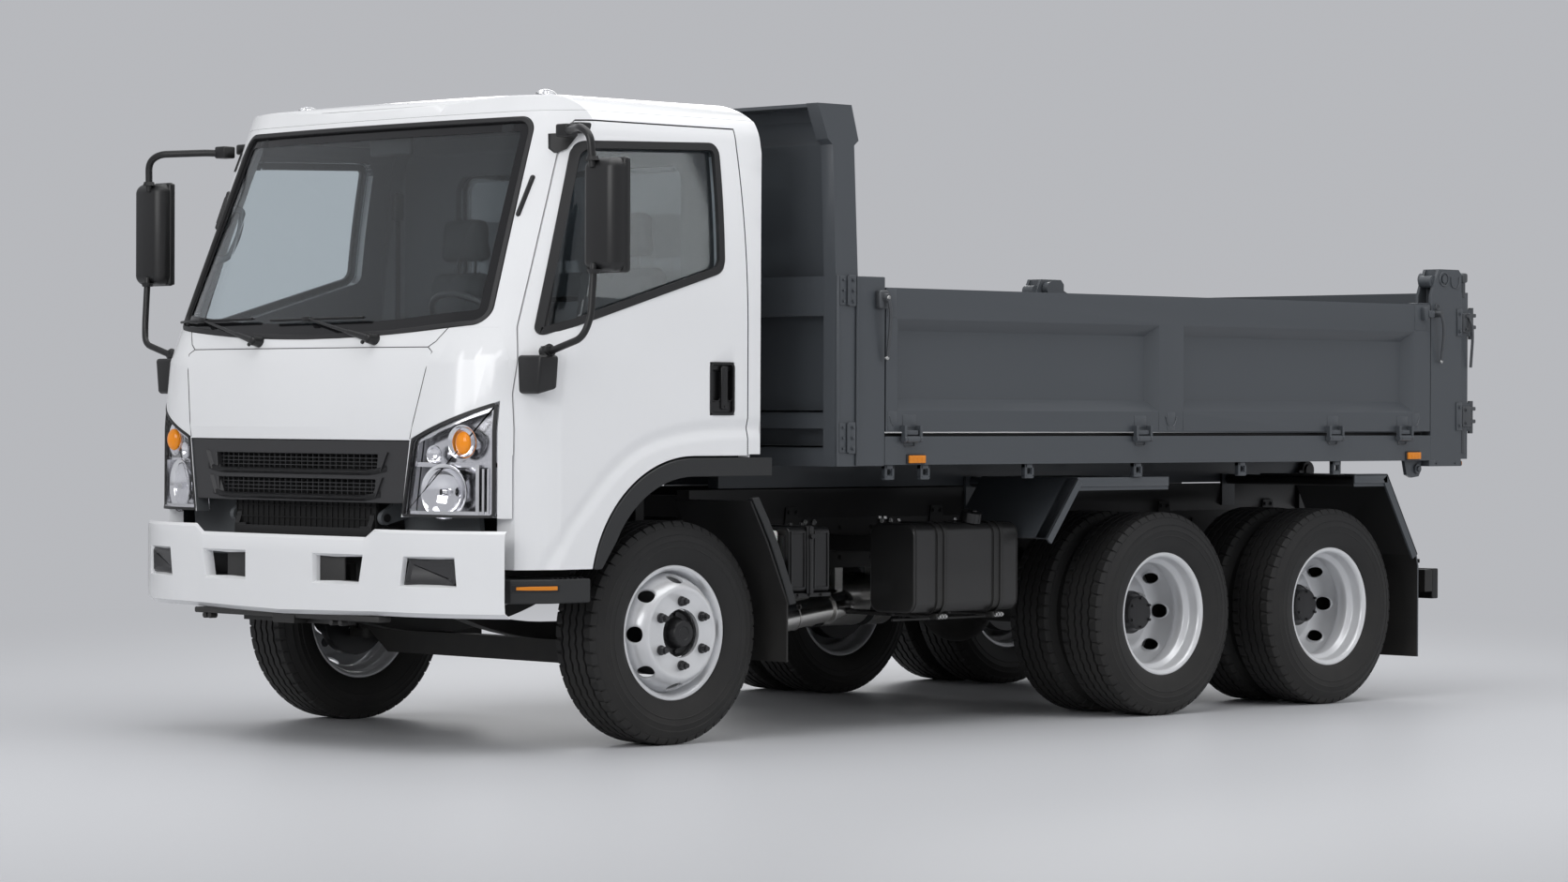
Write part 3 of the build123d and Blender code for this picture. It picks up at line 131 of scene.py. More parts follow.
def backdrop_shader(tree, floor_shader, shade):
    """Shows a plain grey to the camera and to glossy and clear surfaces, and the given shader to the rest."""
    seen = fed(tree, "Math", seen_directly(tree), add_node(tree, "LightPath").outputs["Is Glossy Ray"],
               operation="MAXIMUM")
    return fed(tree, "MixShader", seen, floor_shader, shade)


def empty_tree(holder):
    """The cleared node tree of a world or a material."""
    holder.use_nodes = True
    holder.node_tree.nodes.clear()
    return holder.node_tree


scene.world = bpy.data.worlds.new("studio")
tree = empty_tree(scene.world)
soft_fill = fed(tree, "Background", Color=(1, 1, 1, 1), Strength=0.46)
shown_grey = fed(tree, "Background", Color=(*BACKDROP, 1), Strength=1.0)
link(tree, backdrop_shader(tree, soft_fill, shown_grey), add_node(tree, "OutputWorld").inputs[0])

FADE_START, FADE_END = 4.2, 9.5        # metres from the truck's middle between which the floor turns to the backdrop
floor_paint = bpy.data.materials.new("studio_floor")
tree = empty_tree(floor_paint)
diffuse = add_node(tree, "BsdfPrincipled", Base_Color=(*FLOOR_GREY, 1), Roughness=0.42)
diffuse.inputs["Specular IOR Level"].default_value = 0.25
far_grey = fed(tree, "Emission", Color=(*BACKDROP, 1), Strength=1.0)
distance = add_node(tree, "VectorMath", operation="LENGTH")
link(tree, add_node(tree, "TexCoord").outputs["Object"], distance.inputs[0])
fade = fed(tree, "MapRange", distance.outputs["Value"], FADE_START, FADE_END, interpolation_type="SMOOTHSTEP")
share = fed(tree, "Math", fade, seen_directly(tree), operation="MULTIPLY")
link(tree, fed(tree, "MixShader", share, diffuse.outputs[0], far_grey), add_node(tree, "OutputMaterial").inputs[0])


def mesh_from(bm, name):
    """Turns a bmesh into a mesh and frees it."""
    mesh = bpy.data.meshes.new(name)
    bm.to_mesh(mesh)
    bm.free()
    return mesh


def placed(name, data):
    """A new object in the scene."""
    item = bpy.data.objects.new(name, data)
    scene.collection.objects.link(item)
    return item


bm = bmesh.new()
bmesh.ops.create_circle(bm, cap_ends=True, segments=96, radius=60)
floor = placed("studio_floor", mesh_from(bm, "studio_floor"))
floor.data.materials.append(floor_paint)

LAMPS = (                              # name, place, aimed at, width, height, watts
    ("overhead", (1.0, -0.5, 7.5), (0.0, 0.0, 0.8), 9.0, 9.0, 455.0),
    ("front_left", (2.5, -10.5, 4.6), (0.0, -1.5, 1.2), 6.0, 4.0, 300.0),
    ("left_side", (10.5, 3.5, 4.4), (0.5, 0.8, 1.0), 7.0, 4.0, 290.0),
    ("behind", (-7.0, 7.0, 5.0), (0.0, 0.5, 1.2), 6.0, 4.0, 210.0),
)
for name, spot, aim, width, height, watts in LAMPS:
    data = bpy.data.lights.new(name, "AREA")
    data.shape, data.size, data.size_y, data.energy = "RECTANGLE", width, height, watts
    lamp = placed(name, data)
    lamp.location = spot
    lamp.rotation_euler = (Vector(aim) - Vector(spot)).to_track_quat("-Z", "Y").to_euler()
    lamp.visible_glossy = name != "left_side"

# ---------------------------------------------------------------- cab shell
# The cab's outer panels: pressed sheet steel, spot welded, primed and painted gloss white.
# Panel edges are turned in, so each one ends in a small radius beside its shut line.
WHITE = (0.80, 0.81, 0.83)
PANEL_EDGE = 2.5                       # millimetres
SHARP_ABOVE, ROUNDED_ABOVE = 28, 32    # degrees between faces, for shading and for rounding

group, inward, outward = new_group(
    "coat_break",
    [("Colour", "Color", (0.5, 0.5, 0.5, 1)), ("Roughness", "Float", 0.5), ("Shade Change", "Float", 0.04),
     ("Patch Scale", "Float", 3.0), ("Grain Scale", "Float", 400.0), ("Roughness Change", "Float", 0.1)],
    [("Colour", "Color"), ("Roughness", "Float"), ("Height", "Float")])
given = inward.outputs
place = add_node(group, "TexCoord").outputs["Object"]
patch = add_node(group, "TexNoise", Detail=3.0)
grain = add_node(group, "TexNoise", Detail=2.0)
for noise, label in ((patch, "Patch Scale"), (grain, "Grain Scale")):
    link(group, place, noise.inputs["Vector"])
    link(group, given[label], noise.inputs["Scale"])
centred = fed(group, "Math", patch.outputs["Fac"], 0.5, operation="SUBTRACT")
shade = fed(group, "Math", centred, given["Shade Change"], 1.0, operation="MULTIPLY_ADD")
tint = add_node(group, "VectorMath", operation="SCALE")
link(group, given["Colour"], tint.inputs[0])
link(group, shade, tint.inputs["Scale"])
dull = fed(group, "Math", centred, given["Roughness Change"], given["Roughness"], operation="MULTIPLY_ADD")
for source, label in ((tint.outputs[0], "Colour"), (dull, "Roughness"), (grain.outputs["Fac"], "Height")):
    link(group, source, outward.inputs[label])
COAT_BREAK = group

group, inward, outward = new_group(
    "road_dust",
    [("Colour", "Color", (0.5, 0.5, 0.5, 1)), ("Roughness", "Float", 0.5), ("Dust Amount", "Float", 0.2),
     ("Dust Top", "Float", 0.9)],
    [("Colour", "Color"), ("Roughness", "Float")])
given = inward.outputs
DUST_COLOUR, DUST_ROUGH = (0.20, 0.185, 0.16, 1), 0.9
place = add_node(group, "TexCoord").outputs["Object"]
split = add_node(group, "SeparateXYZ")
link(group, place, split.inputs[0])
low = fed(group, "MapRange", split.outputs["Z"], 0.0, given["Dust Top"], 1.0, 0.0)
cloud = add_node(group, "TexNoise", Scale=9.0, Detail=5.0)
link(group, place, cloud.inputs["Vector"])
there = fed(group, "Math", low, cloud.outputs["Fac"], operation="MULTIPLY")
amount = fed(group, "Math", there, given["Dust Amount"], operation="MULTIPLY", use_clamp=True)
# a Mix node's colour sockets are inputs 6 and 7 and output 2, its number sockets inputs 2 and 3 and output 0
for kind, label, first, dusty, output in (("RGBA", "Colour", 6, DUST_COLOUR, 2),
                                          ("FLOAT", "Roughness", 2, DUST_ROUGH, 0)):
    mix = add_node(group, "Mix", data_type=kind)
    link(group, amount, mix.inputs["Factor"])
    link(group, given[label], mix.inputs[first])
    mix.inputs[first + 1].default_value = dusty
    link(group, mix.outputs[output], outward.inputs[label])
ROAD_DUST = group


def finish(name, colour, rough, metal=0.0, coat=0.0, shade=0.05, patch=3.0, grain=400.0, bump=0.04,
           dull=0.08, dust=0.0, dust_top=0.9, sockets=()):
    """Procedural material: the coat_break group, road dust if asked, and fine grain as bump."""
    material = bpy.data.materials.new(name)
    material.use_nodes = True
    tree = material.node_tree
    shader = tree.nodes["Principled BSDF"]
    broken = add_node(tree, "Group")
    broken.node_tree = COAT_BREAK
    values = {"Colour": (*colour, 1), "Roughness": rough, "Shade Change": shade, "Patch Scale": patch,
              "Grain Scale": grain, "Roughness Change": dull}
    for label, value in values.items():
        broken.inputs[label].default_value = value
    last = broken
    if dust:
        last = add_node(tree, "Group")
        last.node_tree = ROAD_DUST
        link(tree, broken.outputs["Colour"], last.inputs["Colour"])
        link(tree, broken.outputs["Roughness"], last.inputs["Roughness"])
        last.inputs["Dust Amount"].default_value = dust
        last.inputs["Dust Top"].default_value = dust_top
    link(tree, last.outputs["Colour"], shader.inputs["Base Color"])
    link(tree, last.outputs["Roughness"], shader.inputs["Roughness"])
    relief = add_node(tree, "Bump", Strength=bump, Distance=0.001)
    link(tree, broken.outputs["Height"], relief.inputs["Height"])
    link(tree, relief.outputs[0], shader.inputs["Normal"])
    shader.inputs["Metallic"].default_value = metal
    shader.inputs["Coat Weight"].default_value = coat
    for label, value in sockets:
        shader.inputs[label].default_value = value
    return material


def new_piece(name, bm, material, body, smooth=35, edge=0.0, segments=2):
    """Makes a bmesh drawn in millimetres from the front axle a piece of the truck that rides on a body."""
    bmesh.ops.recalc_face_normals(bm, faces=bm.faces)
    bm.transform(TO_ROW)
    return piece_from(bm, name, material, body, smooth, edge, segments)


def shade_by_angle(mesh, angle):
    """Smooth shading with edges kept sharp above an angle in degrees."""
    mesh.shade_smooth()
    mesh.set_sharp_from_angle(angle=math.radians(angle))


def piece_from(bm, name, material, body, smooth, edge, segments):
    """A piece from a bmesh in metres, with its sharp edges rounded by a width in millimetres."""
    piece = placed(name, mesh_from(bm, name))
    piece.data.materials.append(material)
    shade_by_angle(piece.data, smooth)
    if edge:
        rounding = piece.modifiers.new("edge", "BEVEL")
        rounding.width = edge / 1000
        rounding.segments = segments
        rounding.limit_method = "ANGLE"
        rounding.angle_limit = math.radians(ROUNDED_ABOVE)
        rounding.harden_normals = True
    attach(piece, body)
    return piece


def panel(node, name, material, edge=PANEL_EDGE, segments=2):
    """A piece with a CAD node's own shape and rounded edges, which stands for the node."""
    source = nodes[node]
    bm = bmesh.new()
    bm.from_mesh(source.data)
    bmesh.ops.remove_doubles(bm, verts=bm.verts, dist=0.00002)
    bmesh.ops.dissolve_limit(bm, angle_limit=math.radians(0.6), verts=bm.verts, edges=bm.edges)
    piece = piece_from(bm, name, material, source["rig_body"], SHARP_ABOVE, edge, segments)
    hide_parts(node)
    return piece


def paint(material, slot, *names):
    """Gives CAD nodes a finish as they are."""
    for name in names:
        mesh = nodes[name].data
        mesh.materials.clear()
        mesh.materials.append(material)


cab_white = finish("cab_white", WHITE, 0.22, coat=0.6, shade=0.015, grain=900.0, bump=0.015, dull=0.04)
for node, name in (("cab_front", "cab_front_panel"), ("cab_roof", "cab_roof_panel"), ("cab_back", "cab_back_panel"),
                   ("cab_frame", "cab_side_frame"), ("door_left", "door_panel_left"),
                   ("door_right", "door_panel_right")):
    panel(node, name, cab_white)

# ---------------------------------------------------------------- cab glass and its rubber
# Laminated windshield and tempered side and rear panes, each held by a black rubber moulding.
# The windshield carries a broad black printed border that hides the glue.
CAB_HALF, CAB_NOSE = 1040.0, -935.0
CAB_LEAN = ((590.0, 0.0), (1100.0, 2.0), (1330.0, 26.0), (2300.0, 430.0))
NOSE_HALF, NOSE_SAG = 650.0, 30.0
CORNER_POINTS = ((650.0, 30.0), (905.0, 123.0), (1040.0, 335.0))
SIDE_POINTS = ((1460.0, 1040.0), (1775.0, 1023.0), (2097.0, 975.0))


def circle_through(first, second, third):
    """Centre and radius of the circle through three points."""
    (ax, ay), (bx, by), (cx, cy) = first, second, third
    d = 2 * (ax * (by - cy) + bx * (cy - ay) + cx * (ay - by))
    a2, b2, c2 = ax * ax + ay * ay, bx * bx + by * by, cx * cx + cy * cy
    ux = (a2 * (by - cy) + b2 * (cy - ay) + c2 * (ay - by)) / d
    uy = (a2 * (cx - bx) + b2 * (ax - cx) + c2 * (bx - ax)) / d
    return ux, uy, math.hypot(ax - ux, ay - uy)


CORNER_ARC = circle_through(*CORNER_POINTS)
SIDE_ARC = circle_through(*SIDE_POINTS)


def lean_at(z):
    for (z0, lean0), (z1, lean1) in zip(CAB_LEAN, CAB_LEAN[1:]):
        if z <= z1:
            return lean0 + (lean1 - lean0) * (z - z0) / (z1 - z0)
    return CAB_LEAN[-1][1]


def front_skin(x, z):
    """Y of the cab's front at a place across and up."""
    x = abs(x)
    nose = CAB_NOSE + lean_at(z)
    if x <= NOSE_HALF:
        return nose + NOSE_SAG * (x / NOSE_HALF) ** 2
    centre_x, centre_y, radius = CORNER_ARC
    return nose + centre_y - math.sqrt(max(radius ** 2 - (x - centre_x) ** 2, 0.0))


def side_skin(y, z):
    """X of the cab's left side at a place along and up."""
    half = CAB_HALF
    if z > SIDE_POINTS[0][0]:
        centre_z, centre_x, radius = SIDE_ARC
        half = centre_x + math.sqrt(max(radius ** 2 - (z - centre_z) ** 2, 0.0))
    along = y - CAB_NOSE - lean_at(z)
    if along >= CORNER_POINTS[2][1]:
        return half
    centre_x, centre_y, radius = CORNER_ARC
    return min(half, centre_x + math.sqrt(max(radius ** 2 - (along - centre_y) ** 2, 0.0)))


def face_in(bm, points, axis, level=0.0):
    """A flat face from points in the plane across an axis, at a level on that axis."""
    places = {"x": lambda a, b: (level, a, b), "y": lambda a, b: (a, level, b), "z": lambda a, b: (a, b, level)}
    return bm.faces.new([bm.verts.new(places[axis](a, b)) for a, b in points])


def round_corners(bm, face, radius, segments=6):
    """Rounds the corners of a lone face."""
    bmesh.ops.bevel(bm, geom=list(face.verts), offset=radius, offset_type="OFFSET", segments=segments,
                    profile=0.5, affect="VERTICES", material=-1, clamp_overlap=True)
    bm.faces.ensure_lookup_table()
    return bm.faces[0]


def laid_band(points, axis, rounding, width, skin, proud, thick, cuts=6, keep_middle=False):
    """A band of some width round an outline, or the whole patch, laid on a skin and given a thickness."""
    bm = bmesh.new()
    face = round_corners(bm, face_in(bm, points, axis), rounding)
    if cuts:
        long_edges = [edge for edge in bm.edges if edge.calc_length() > 40]
        bmesh.ops.subdivide_edges(bm, edges=long_edges, cuts=cuts)
    bm.faces.ensure_lookup_table()
    inset = bmesh.ops.inset_region(bm, faces=[bm.faces[0]], thickness=width, use_even_offset=True,
                                   use_boundary=True)
    if not keep_middle:
        middle = [face for face in bm.faces if face not in inset["faces"]]
        bmesh.ops.delete(bm, geom=middle, context="FACES")
    for vert in bm.verts:
        if axis == "y":
            vert.co.y = skin(vert.co.x, vert.co.z) - proud
        else:
            vert.co.x = skin(vert.co.y, vert.co.z) + proud
    bmesh.ops.recalc_face_normals(bm, faces=bm.faces)
    facing = sum((face.normal.y if axis == "y" else -face.normal.x) * face.calc_area() for face in bm.faces)
    if facing > 0:
        bmesh.ops.reverse_faces(bm, faces=bm.faces)
    bmesh.ops.solidify(bm, geom=list(bm.faces), thickness=thick)
    return bm


def face_front(bm):
    """Turns an open sheet's faces so that they look towards the truck's nose."""
    bmesh.ops.recalc_face_normals(bm, faces=bm.faces)
    if sum(face.normal.y for face in bm.faces) > 0:
        bmesh.ops.reverse_faces(bm, faces=bm.faces)


def both(bm):
    """A left-hand bmesh with its right-hand twin added."""
    copy = bmesh.ops.duplicate(bm, geom=list(bm.verts) + list(bm.edges) + list(bm.faces))
    verts = [item for item in copy["geom"] if isinstance(item, bmesh.types.BMVert)]
    faces = [item for item in copy["geom"] if isinstance(item, bmesh.types.BMFace)]
    bmesh.ops.scale(bm, vec=(-1, 1, 1), verts=verts)
    bmesh.ops.reverse_faces(bm, faces=faces)
    return bm


def sided(bm, side):
    """A left-hand bmesh as it is, or turned into its right-hand twin."""
    if side == "right":
        bmesh.ops.scale(bm, vec=(-1, 1, 1), verts=bm.verts)
        bmesh.ops.reverse_faces(bm, faces=bm.faces)
    return bm


rubber = finish("window_rubber", (0.015, 0.015, 0.016), 0.5, shade=0.1, grain=1200.0, bump=0.08)
frit = finish("glass_border", (0.008, 0.008, 0.009), 0.12, shade=0.05, grain=900.0, bump=0.01)
window_glass = finish("window_glass", (0.86, 0.915, 0.935), 0.01, shade=0.01, bump=0.004, dull=0.005,
                      sockets=(("Transmission Weight", 1.0), ("IOR", 1.45)))
paint(window_glass, "glass", "windshield", "rear_window", "door_glass_left", "door_glass_right")

WINDSHIELD = ((-866.0, 1453.0), (-430.0, 1417.0), (0.0, 1405.0), (430.0, 1417.0), (866.0, 1453.0),
              (798.0, 2167.0), (-798.0, 2167.0))
bm = laid_band(WINDSHIELD, "y", 58.0, 16.0, front_skin, 4.0, 14.0)
new_piece("windshield_rubber", bm, rubber, "cab", edge=3.0)
inner = [(x * 0.985, 1786 + (z - 1786) * 0.975) for x, z in WINDSHIELD]
bm = laid_band(inner, "y", 50.0, 42.0, front_skin, -10.5, 1.0)
new_piece("windshield_border", bm, frit, "cab")

SIDE_WINDOW = ((-671.0, 1404.0), (160.0, 1645.0), (180.0, 2098.0), (-452.0, 2078.0))
for side in ("left", "right"):
    bm = laid_band([(y * 1.01 - 1, z) for y, z in SIDE_WINDOW], "x", 46.0, 26.0, side_skin, 3.0, 16.0)
    # vertical front bar between the fixed corner and the sliding glass
    bar = bmesh.ops.create_cube(bm, size=1)["verts"]
    bmesh.ops.scale(bm, vec=(14, 30, 640), verts=bar)
    bmesh.ops.rotate(bm, cent=(0, 0, 0), matrix=Matrix.Rotation(math.radians(-15.0), 3, "X"), verts=bar)
    for vert in bar:
        vert.co += Vector((0, -556, 1742))
        vert.co.x += side_skin(vert.co.y, vert.co.z) - 14
    new_piece("door_window_rubber_" + side, sided(bm, side), rubber, "door_" + side,
              edge=3.0)

REAR_WINDOW = ((-620.0, 1560.0), (620.0, 1560.0), (620.0, 2040.0), (-620.0, 2040.0))
bm = laid_band(REAR_WINDOW, "y", 60.0, 22.0, lambda x, z: 388.0, -4.0, -12.0, cuts=0)
new_piece("rear_window_rubber", bm, rubber, "cab", edge=3.0)

# ---------------------------------------------------------------- wipers and washer jets
# Two black painted steel wiper arms on spindles below the glass, each with a spring cover and a rubber blade.
# The jets are small plastic nozzles clipped into the panel.


def block_in(bm, x, y, z, edge=0.0, segments=2):
    """A box between limits with rounded edges."""
    verts = bmesh.ops.create_cube(bm, size=1)["verts"]
    bmesh.ops.scale(bm, vec=(x[1] - x[0], y[1] - y[0], z[1] - z[0]), verts=verts)
    bmesh.ops.translate(bm, vec=((x[0] + x[1]) / 2, (y[0] + y[1]) / 2, (z[0] + z[1]) / 2), verts=verts)
    if edge:
        edges = list({edge_ for vert in verts for edge_ in vert.link_edges})
        made = bmesh.ops.bevel(bm, geom=edges, offset=edge, offset_type="OFFSET", segments=segments, profile=0.5,
                               affect="EDGES", material=-1, clamp_overlap=True)
        return list({vert for face in made["faces"] for vert in face.verts})
    return verts


def rod_in(bm, start, end, radius, end_radius=None, segments=20):
    """A round bar or cone between two points."""
    start, end = Vector(start), Vector(end)
    turn = (end - start).to_track_quat("Z", "Y").to_matrix().to_4x4()
    made = bmesh.ops.create_cone(bm, cap_ends=True, segments=segments, radius1=radius,
                                 radius2=radius if end_radius is None else end_radius, depth=(end - start).length,
                                 matrix=Matrix.Translation((start + end) / 2) @ turn)
    return made["verts"]


def ball_in(bm, place, radius, around=14, up=10):
    """A ball at a place."""
    ball = bmesh.ops.create_uvsphere(bm, u_segments=around, v_segments=up, radius=radius)["verts"]
    bmesh.ops.translate(bm, vec=place, verts=ball)


def tube_in(bm, points, radius, segments=14, rounding=0.0, steps=5):
    """A round tube that follows points, with its bends rounded."""
    path = [Vector(points[0])]
    for before, here, after in zip(points, points[1:], points[2:]):
        before, here, after = Vector(before), Vector(here), Vector(after)
        reach = min(rounding, (here - before).length * 0.49, (after - here).length * 0.49)
        start = here + (before - here).normalized() * reach
        end = here + (after - here).normalized() * reach
        if rounding:
            path += [start.lerp(here, t / steps).lerp(here.lerp(end, t / steps), t / steps) for t in range(steps + 1)]
        else:
            path.append(here)
    path.append(Vector(points[-1]))
    turn = (path[1] - path[0]).to_track_quat("Z", "Y").to_matrix()
    ring = bmesh.ops.create_circle(bm, cap_ends=False, segments=segments, radius=radius)["verts"]
    bmesh.ops.rotate(bm, cent=(0, 0, 0), matrix=turn, verts=ring)
    bmesh.ops.translate(bm, vec=path[0], verts=ring)
    edges = list({edge for vert in ring for edge in vert.link_edges})
    bmesh.ops.contextual_create(bm, geom=edges)
    run = (path[1] - path[0]).normalized()
    for index in range(1, len(path)):
        ahead = path[min(index + 1, len(path) - 1)] - path[index - 1] if index < len(path) - 1 \
            else path[index] - path[index - 1]
        ahead.normalize()
        made = bmesh.ops.extrude_edge_only(bm, edges=edges)["geom"]
        ring = [item for item in made if isinstance(item, bmesh.types.BMVert)]
        edges = [item for item in made if isinstance(item, bmesh.types.BMEdge)
                 and all(vert in ring for vert in item.verts)]
        bmesh.ops.translate(bm, vec=path[index] - path[index - 1], verts=ring)
        bmesh.ops.rotate(bm, cent=path[index], matrix=run.rotation_difference(ahead).to_matrix(), verts=ring)
        run = ahead
    bmesh.ops.contextual_create(bm, geom=edges)


def prism_in(bm, points, axis, limits):
    """A plate with an outline, between two limits on an axis."""
    face = face_in(bm, points, axis, limits[0])
    made = bmesh.ops.extrude_face_region(bm, geom=[face])["geom"]
    verts = [item for item in made if isinstance(item, bmesh.types.BMVert)]
    step = Vector([limits[1] - limits[0] if letter == axis else 0 for letter in "xyz"])
    bmesh.ops.translate(bm, vec=step, verts=verts)
    return verts + list(face.verts)


def front_place(x, z, proud=0.0):
    return Vector((x, front_skin(x, z) - proud, z))


satin_black = finish("satin_black", (0.008, 0.008, 0.0085), 0.35, shade=0.1, grain=800.0, bump=0.03)
WIPERS = (((-250.0, 1395.0), (-640.0, 1480.0), (-860.0, -330.0)), ((385.0, 1398.0), (0.0, 1478.0), (-215.0, 300.0)))
for index, (spindle, tip, blade) in enumerate(WIPERS):
    bm = bmesh.new()
    base = front_place(*spindle)
    rod_in(bm, base + Vector((0, 8, 0)), base + Vector((0, -36, 8)), 20, 17)
    rod_in(bm, base + Vector((0, -34, 6)), base + Vector((0, -42, 8)), 14, 10)
    knee = front_place(spindle[0] + (tip[0] - spindle[0]) * 0.3, spindle[1] + (tip[1] - spindle[1]) * 0.3 + 6, 34)
    end = front_place(*tip, 20)
    arm = [base + Vector((0, -30, 6)), knee]
    rod_in(bm, arm[0], arm[1], 13, 9, 8)
    rod_in(bm, arm[1], end, 7, 4, 8)
    span = [front_place(blade[0] + (blade[1] - blade[0]) * t, tip[1] - 4 + 5 * t, 13) for t in
            (0, 0.2, 0.4, 0.6, 0.8, 1)]
    tube_in(bm, span, 5, segments=6)
    tube_in(bm, [point + Vector((0, 8, 0)) for point in span], 3, segments=4)
    clip = block_in(bm, (-18, 18), (-14, 6), (-9, 9), 3)
    bmesh.ops.translate(bm, vec=end + Vector((0, 6, -2)), verts=clip)
    jet = front_place(spindle[0] - 62, spindle[1] - 6)
    rod_in(bm, jet + Vector((0, 4, 0)), jet + Vector((0, -7, 2)), 9, 6, 12)
    new_piece(f"wiper_{index + 1}", bm, satin_black, "cab", edge=0.8)

# ---------------------------------------------------------------- front seams
# Shut lines of the front hatch and of the panel under the glass, drawn as thin near-black tubes of painted shade that
# stand for the shade inside the gaps between painted sheets.
# The hatch is hinged at its top edge; the gaps are about 3 mm wide.
# the shut lines' near-black finish is painted shade, standing for the shade inside the gaps
gap_shade_paint = finish("shut_line_painted_shade", (0.03, 0.03, 0.032), 0.8, shade=0.05)


def seam(name, points, width=1.6, pitch=60):
    """A narrow near-black tube along a line on the cab's front, painted shade for the gap there."""
    bm = bmesh.new()
    dense = []
    for start, end in zip(points, points[1:]):
        count = max(2, int(math.dist(start, end) / pitch))
        dense += [front_place(start[0] + (end[0] - start[0]) * t / count, start[1] + (end[1] - start[1]) * t / count)
                  for t in range(count)]
    dense.append(front_place(*points[-1]))
    tube_in(bm, dense, width, segments=6)
    new_piece(name, bm, gap_shade_paint, "cab")


# near-black tubes of painted shade along the hatch's and the cowl panel's shut lines
seam("hatch_seam_shade", ((-614, 1062), (-682, 1358), (-655, 1374), (655, 1374), (682, 1358), (614, 1062)))
for side, sign in (("left", 1), ("right", -1)):
    seam("cowl_seam_shade_" + side, ((sign * 655, 1374), (sign * 684, 1392), (sign * 722, 1440)))

# ---------------------------------------------------------------- grille
# One moulding of grained black plastic with two long openings, each with a chamfered surround and a fine grid behind.
# A third, lower intake opens below it, with the cooler's dark core in its depth.
grille_plastic = finish("grille_plastic", (0.030, 0.030, 0.032), 0.42, shade=0.08, grain=1400.0, bump=0.08)
deep_black = finish("deep_black", (0.004, 0.004, 0.004), 0.8, shade=0.1)
bm = bmesh.new()
ROWS = (1056.0, 1030.0, 1008.0, 955.0, 940.0, 922.0, 868.0, 842.0)
SLOTS = ((1008.0, 955.0), (922.0, 868.0))
LOW_X, HIGH_X = 575.0, 613.0           # half widths at the lower and the upper edge
COLUMNS = 24
strips = {}
for z in ROWS:
    edge_x = LOW_X + (HIGH_X - LOW_X) * (z - ROWS[-1]) / (ROWS[0] - ROWS[-1])
    strips[z] = [bm.verts.new((edge_x * (2 * i / COLUMNS - 1), 0, z)) for i in range(COLUMNS + 1)]
for z_high, z_low in zip(ROWS, ROWS[1:]):
    for i in range(COLUMNS):
        in_slot = (z_high, z_low) in SLOTS and 3 <= i < COLUMNS - 3
        if not in_slot:
            bm.faces.new((strips[z_high][i], strips[z_high][i + 1], strips[z_low][i + 1], strips[z_low][i]))
for vert in bm.verts:
    vert.co.y = front_skin(vert.co.x, vert.co.z) + 3
face_front(bm)
bmesh.ops.solidify(bm, geom=list(bm.faces), thickness=26)
grille = new_piece("grille_moulding", bm, grille_plastic, "cab", edge=5.0, segments=3)
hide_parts("grille")

bm = bmesh.new()
for (z_top, z_bottom), half in zip(SLOTS, (476.0, 452.0)):
    for side in (-1, 1):
        # the wedge at each end of an opening, which slopes out to the grille's sides
        prism = [(side * (half - 34), z_bottom + 3), (side * half, z_bottom - 6), (side * (half + 34), z_top + 8),
                 (side * (half - 6), z_top + 2)]
        verts = prism_in(bm, prism, "y", (0, 1))
        for vert in verts:
            front = vert.co.y < 0.5
            outer = abs(vert.co.x) > half - 3
            vert.co.y = front_skin(vert.co.x, vert.co.z) + ((-5 if outer else 14) if front else 28)
    for row in range(1, 4):
        z = z_bottom + (z_top - z_bottom) * row / 4
        tube_in(bm, [(x, front_skin(x, z) + 24, z) for x in range(-460, 461, 92)], 2.4, segments=6)
    for column in range(-14, 15):
        x = column * 31.0
        block_in(bm, (x - 1.5, x + 1.5), (front_skin(x, z_top) + 22, front_skin(x, z_top) + 34), (z_bottom, z_top))
new_piece("grille_bars", bm, grille_plastic, "cab", edge=0.8)

for lip_index, (z, half) in enumerate(((948.0, 500.0), (860.0, 470.0))):
    bm = bmesh.new()
    count = 22
    rows = []
    for dz, proud in ((9, -2), (3, 7), (-3, 8), (-12, -2)):
        row = []
        for i in range(count + 1):
            x = half * (2 * i / count - 1)
            fade = min(1.0, (half - abs(x)) / 70)
            row.append(bm.verts.new((x, front_skin(x, z) - proud * fade + 1, z + dz + (1 - fade) * 14)))
        rows.append(row)
    for first, second in zip(rows, rows[1:]):
        for i in range(count):
            bm.faces.new((first[i], first[i + 1], second[i + 1], second[i]))
    bmesh.ops.solidify(bm, geom=list(bm.faces), thickness=3)
    new_piece(f"grille_lip_{lip_index + 1}", bm, grille_plastic, "cab")

bm = bmesh.new()
block_in(bm, (-394, 394), (-868, -862), (640, 1040))
for x in range(-390, 391, 30):
    block_in(bm, (x - 2, x + 2), (-872, -866), (650, 1035))
for z in range(700, 995, 42):
    block_in(bm, (-394, 394), (-874, -866), (z - 2, z + 2))
new_piece("cooler_core", bm, deep_black, "cab")

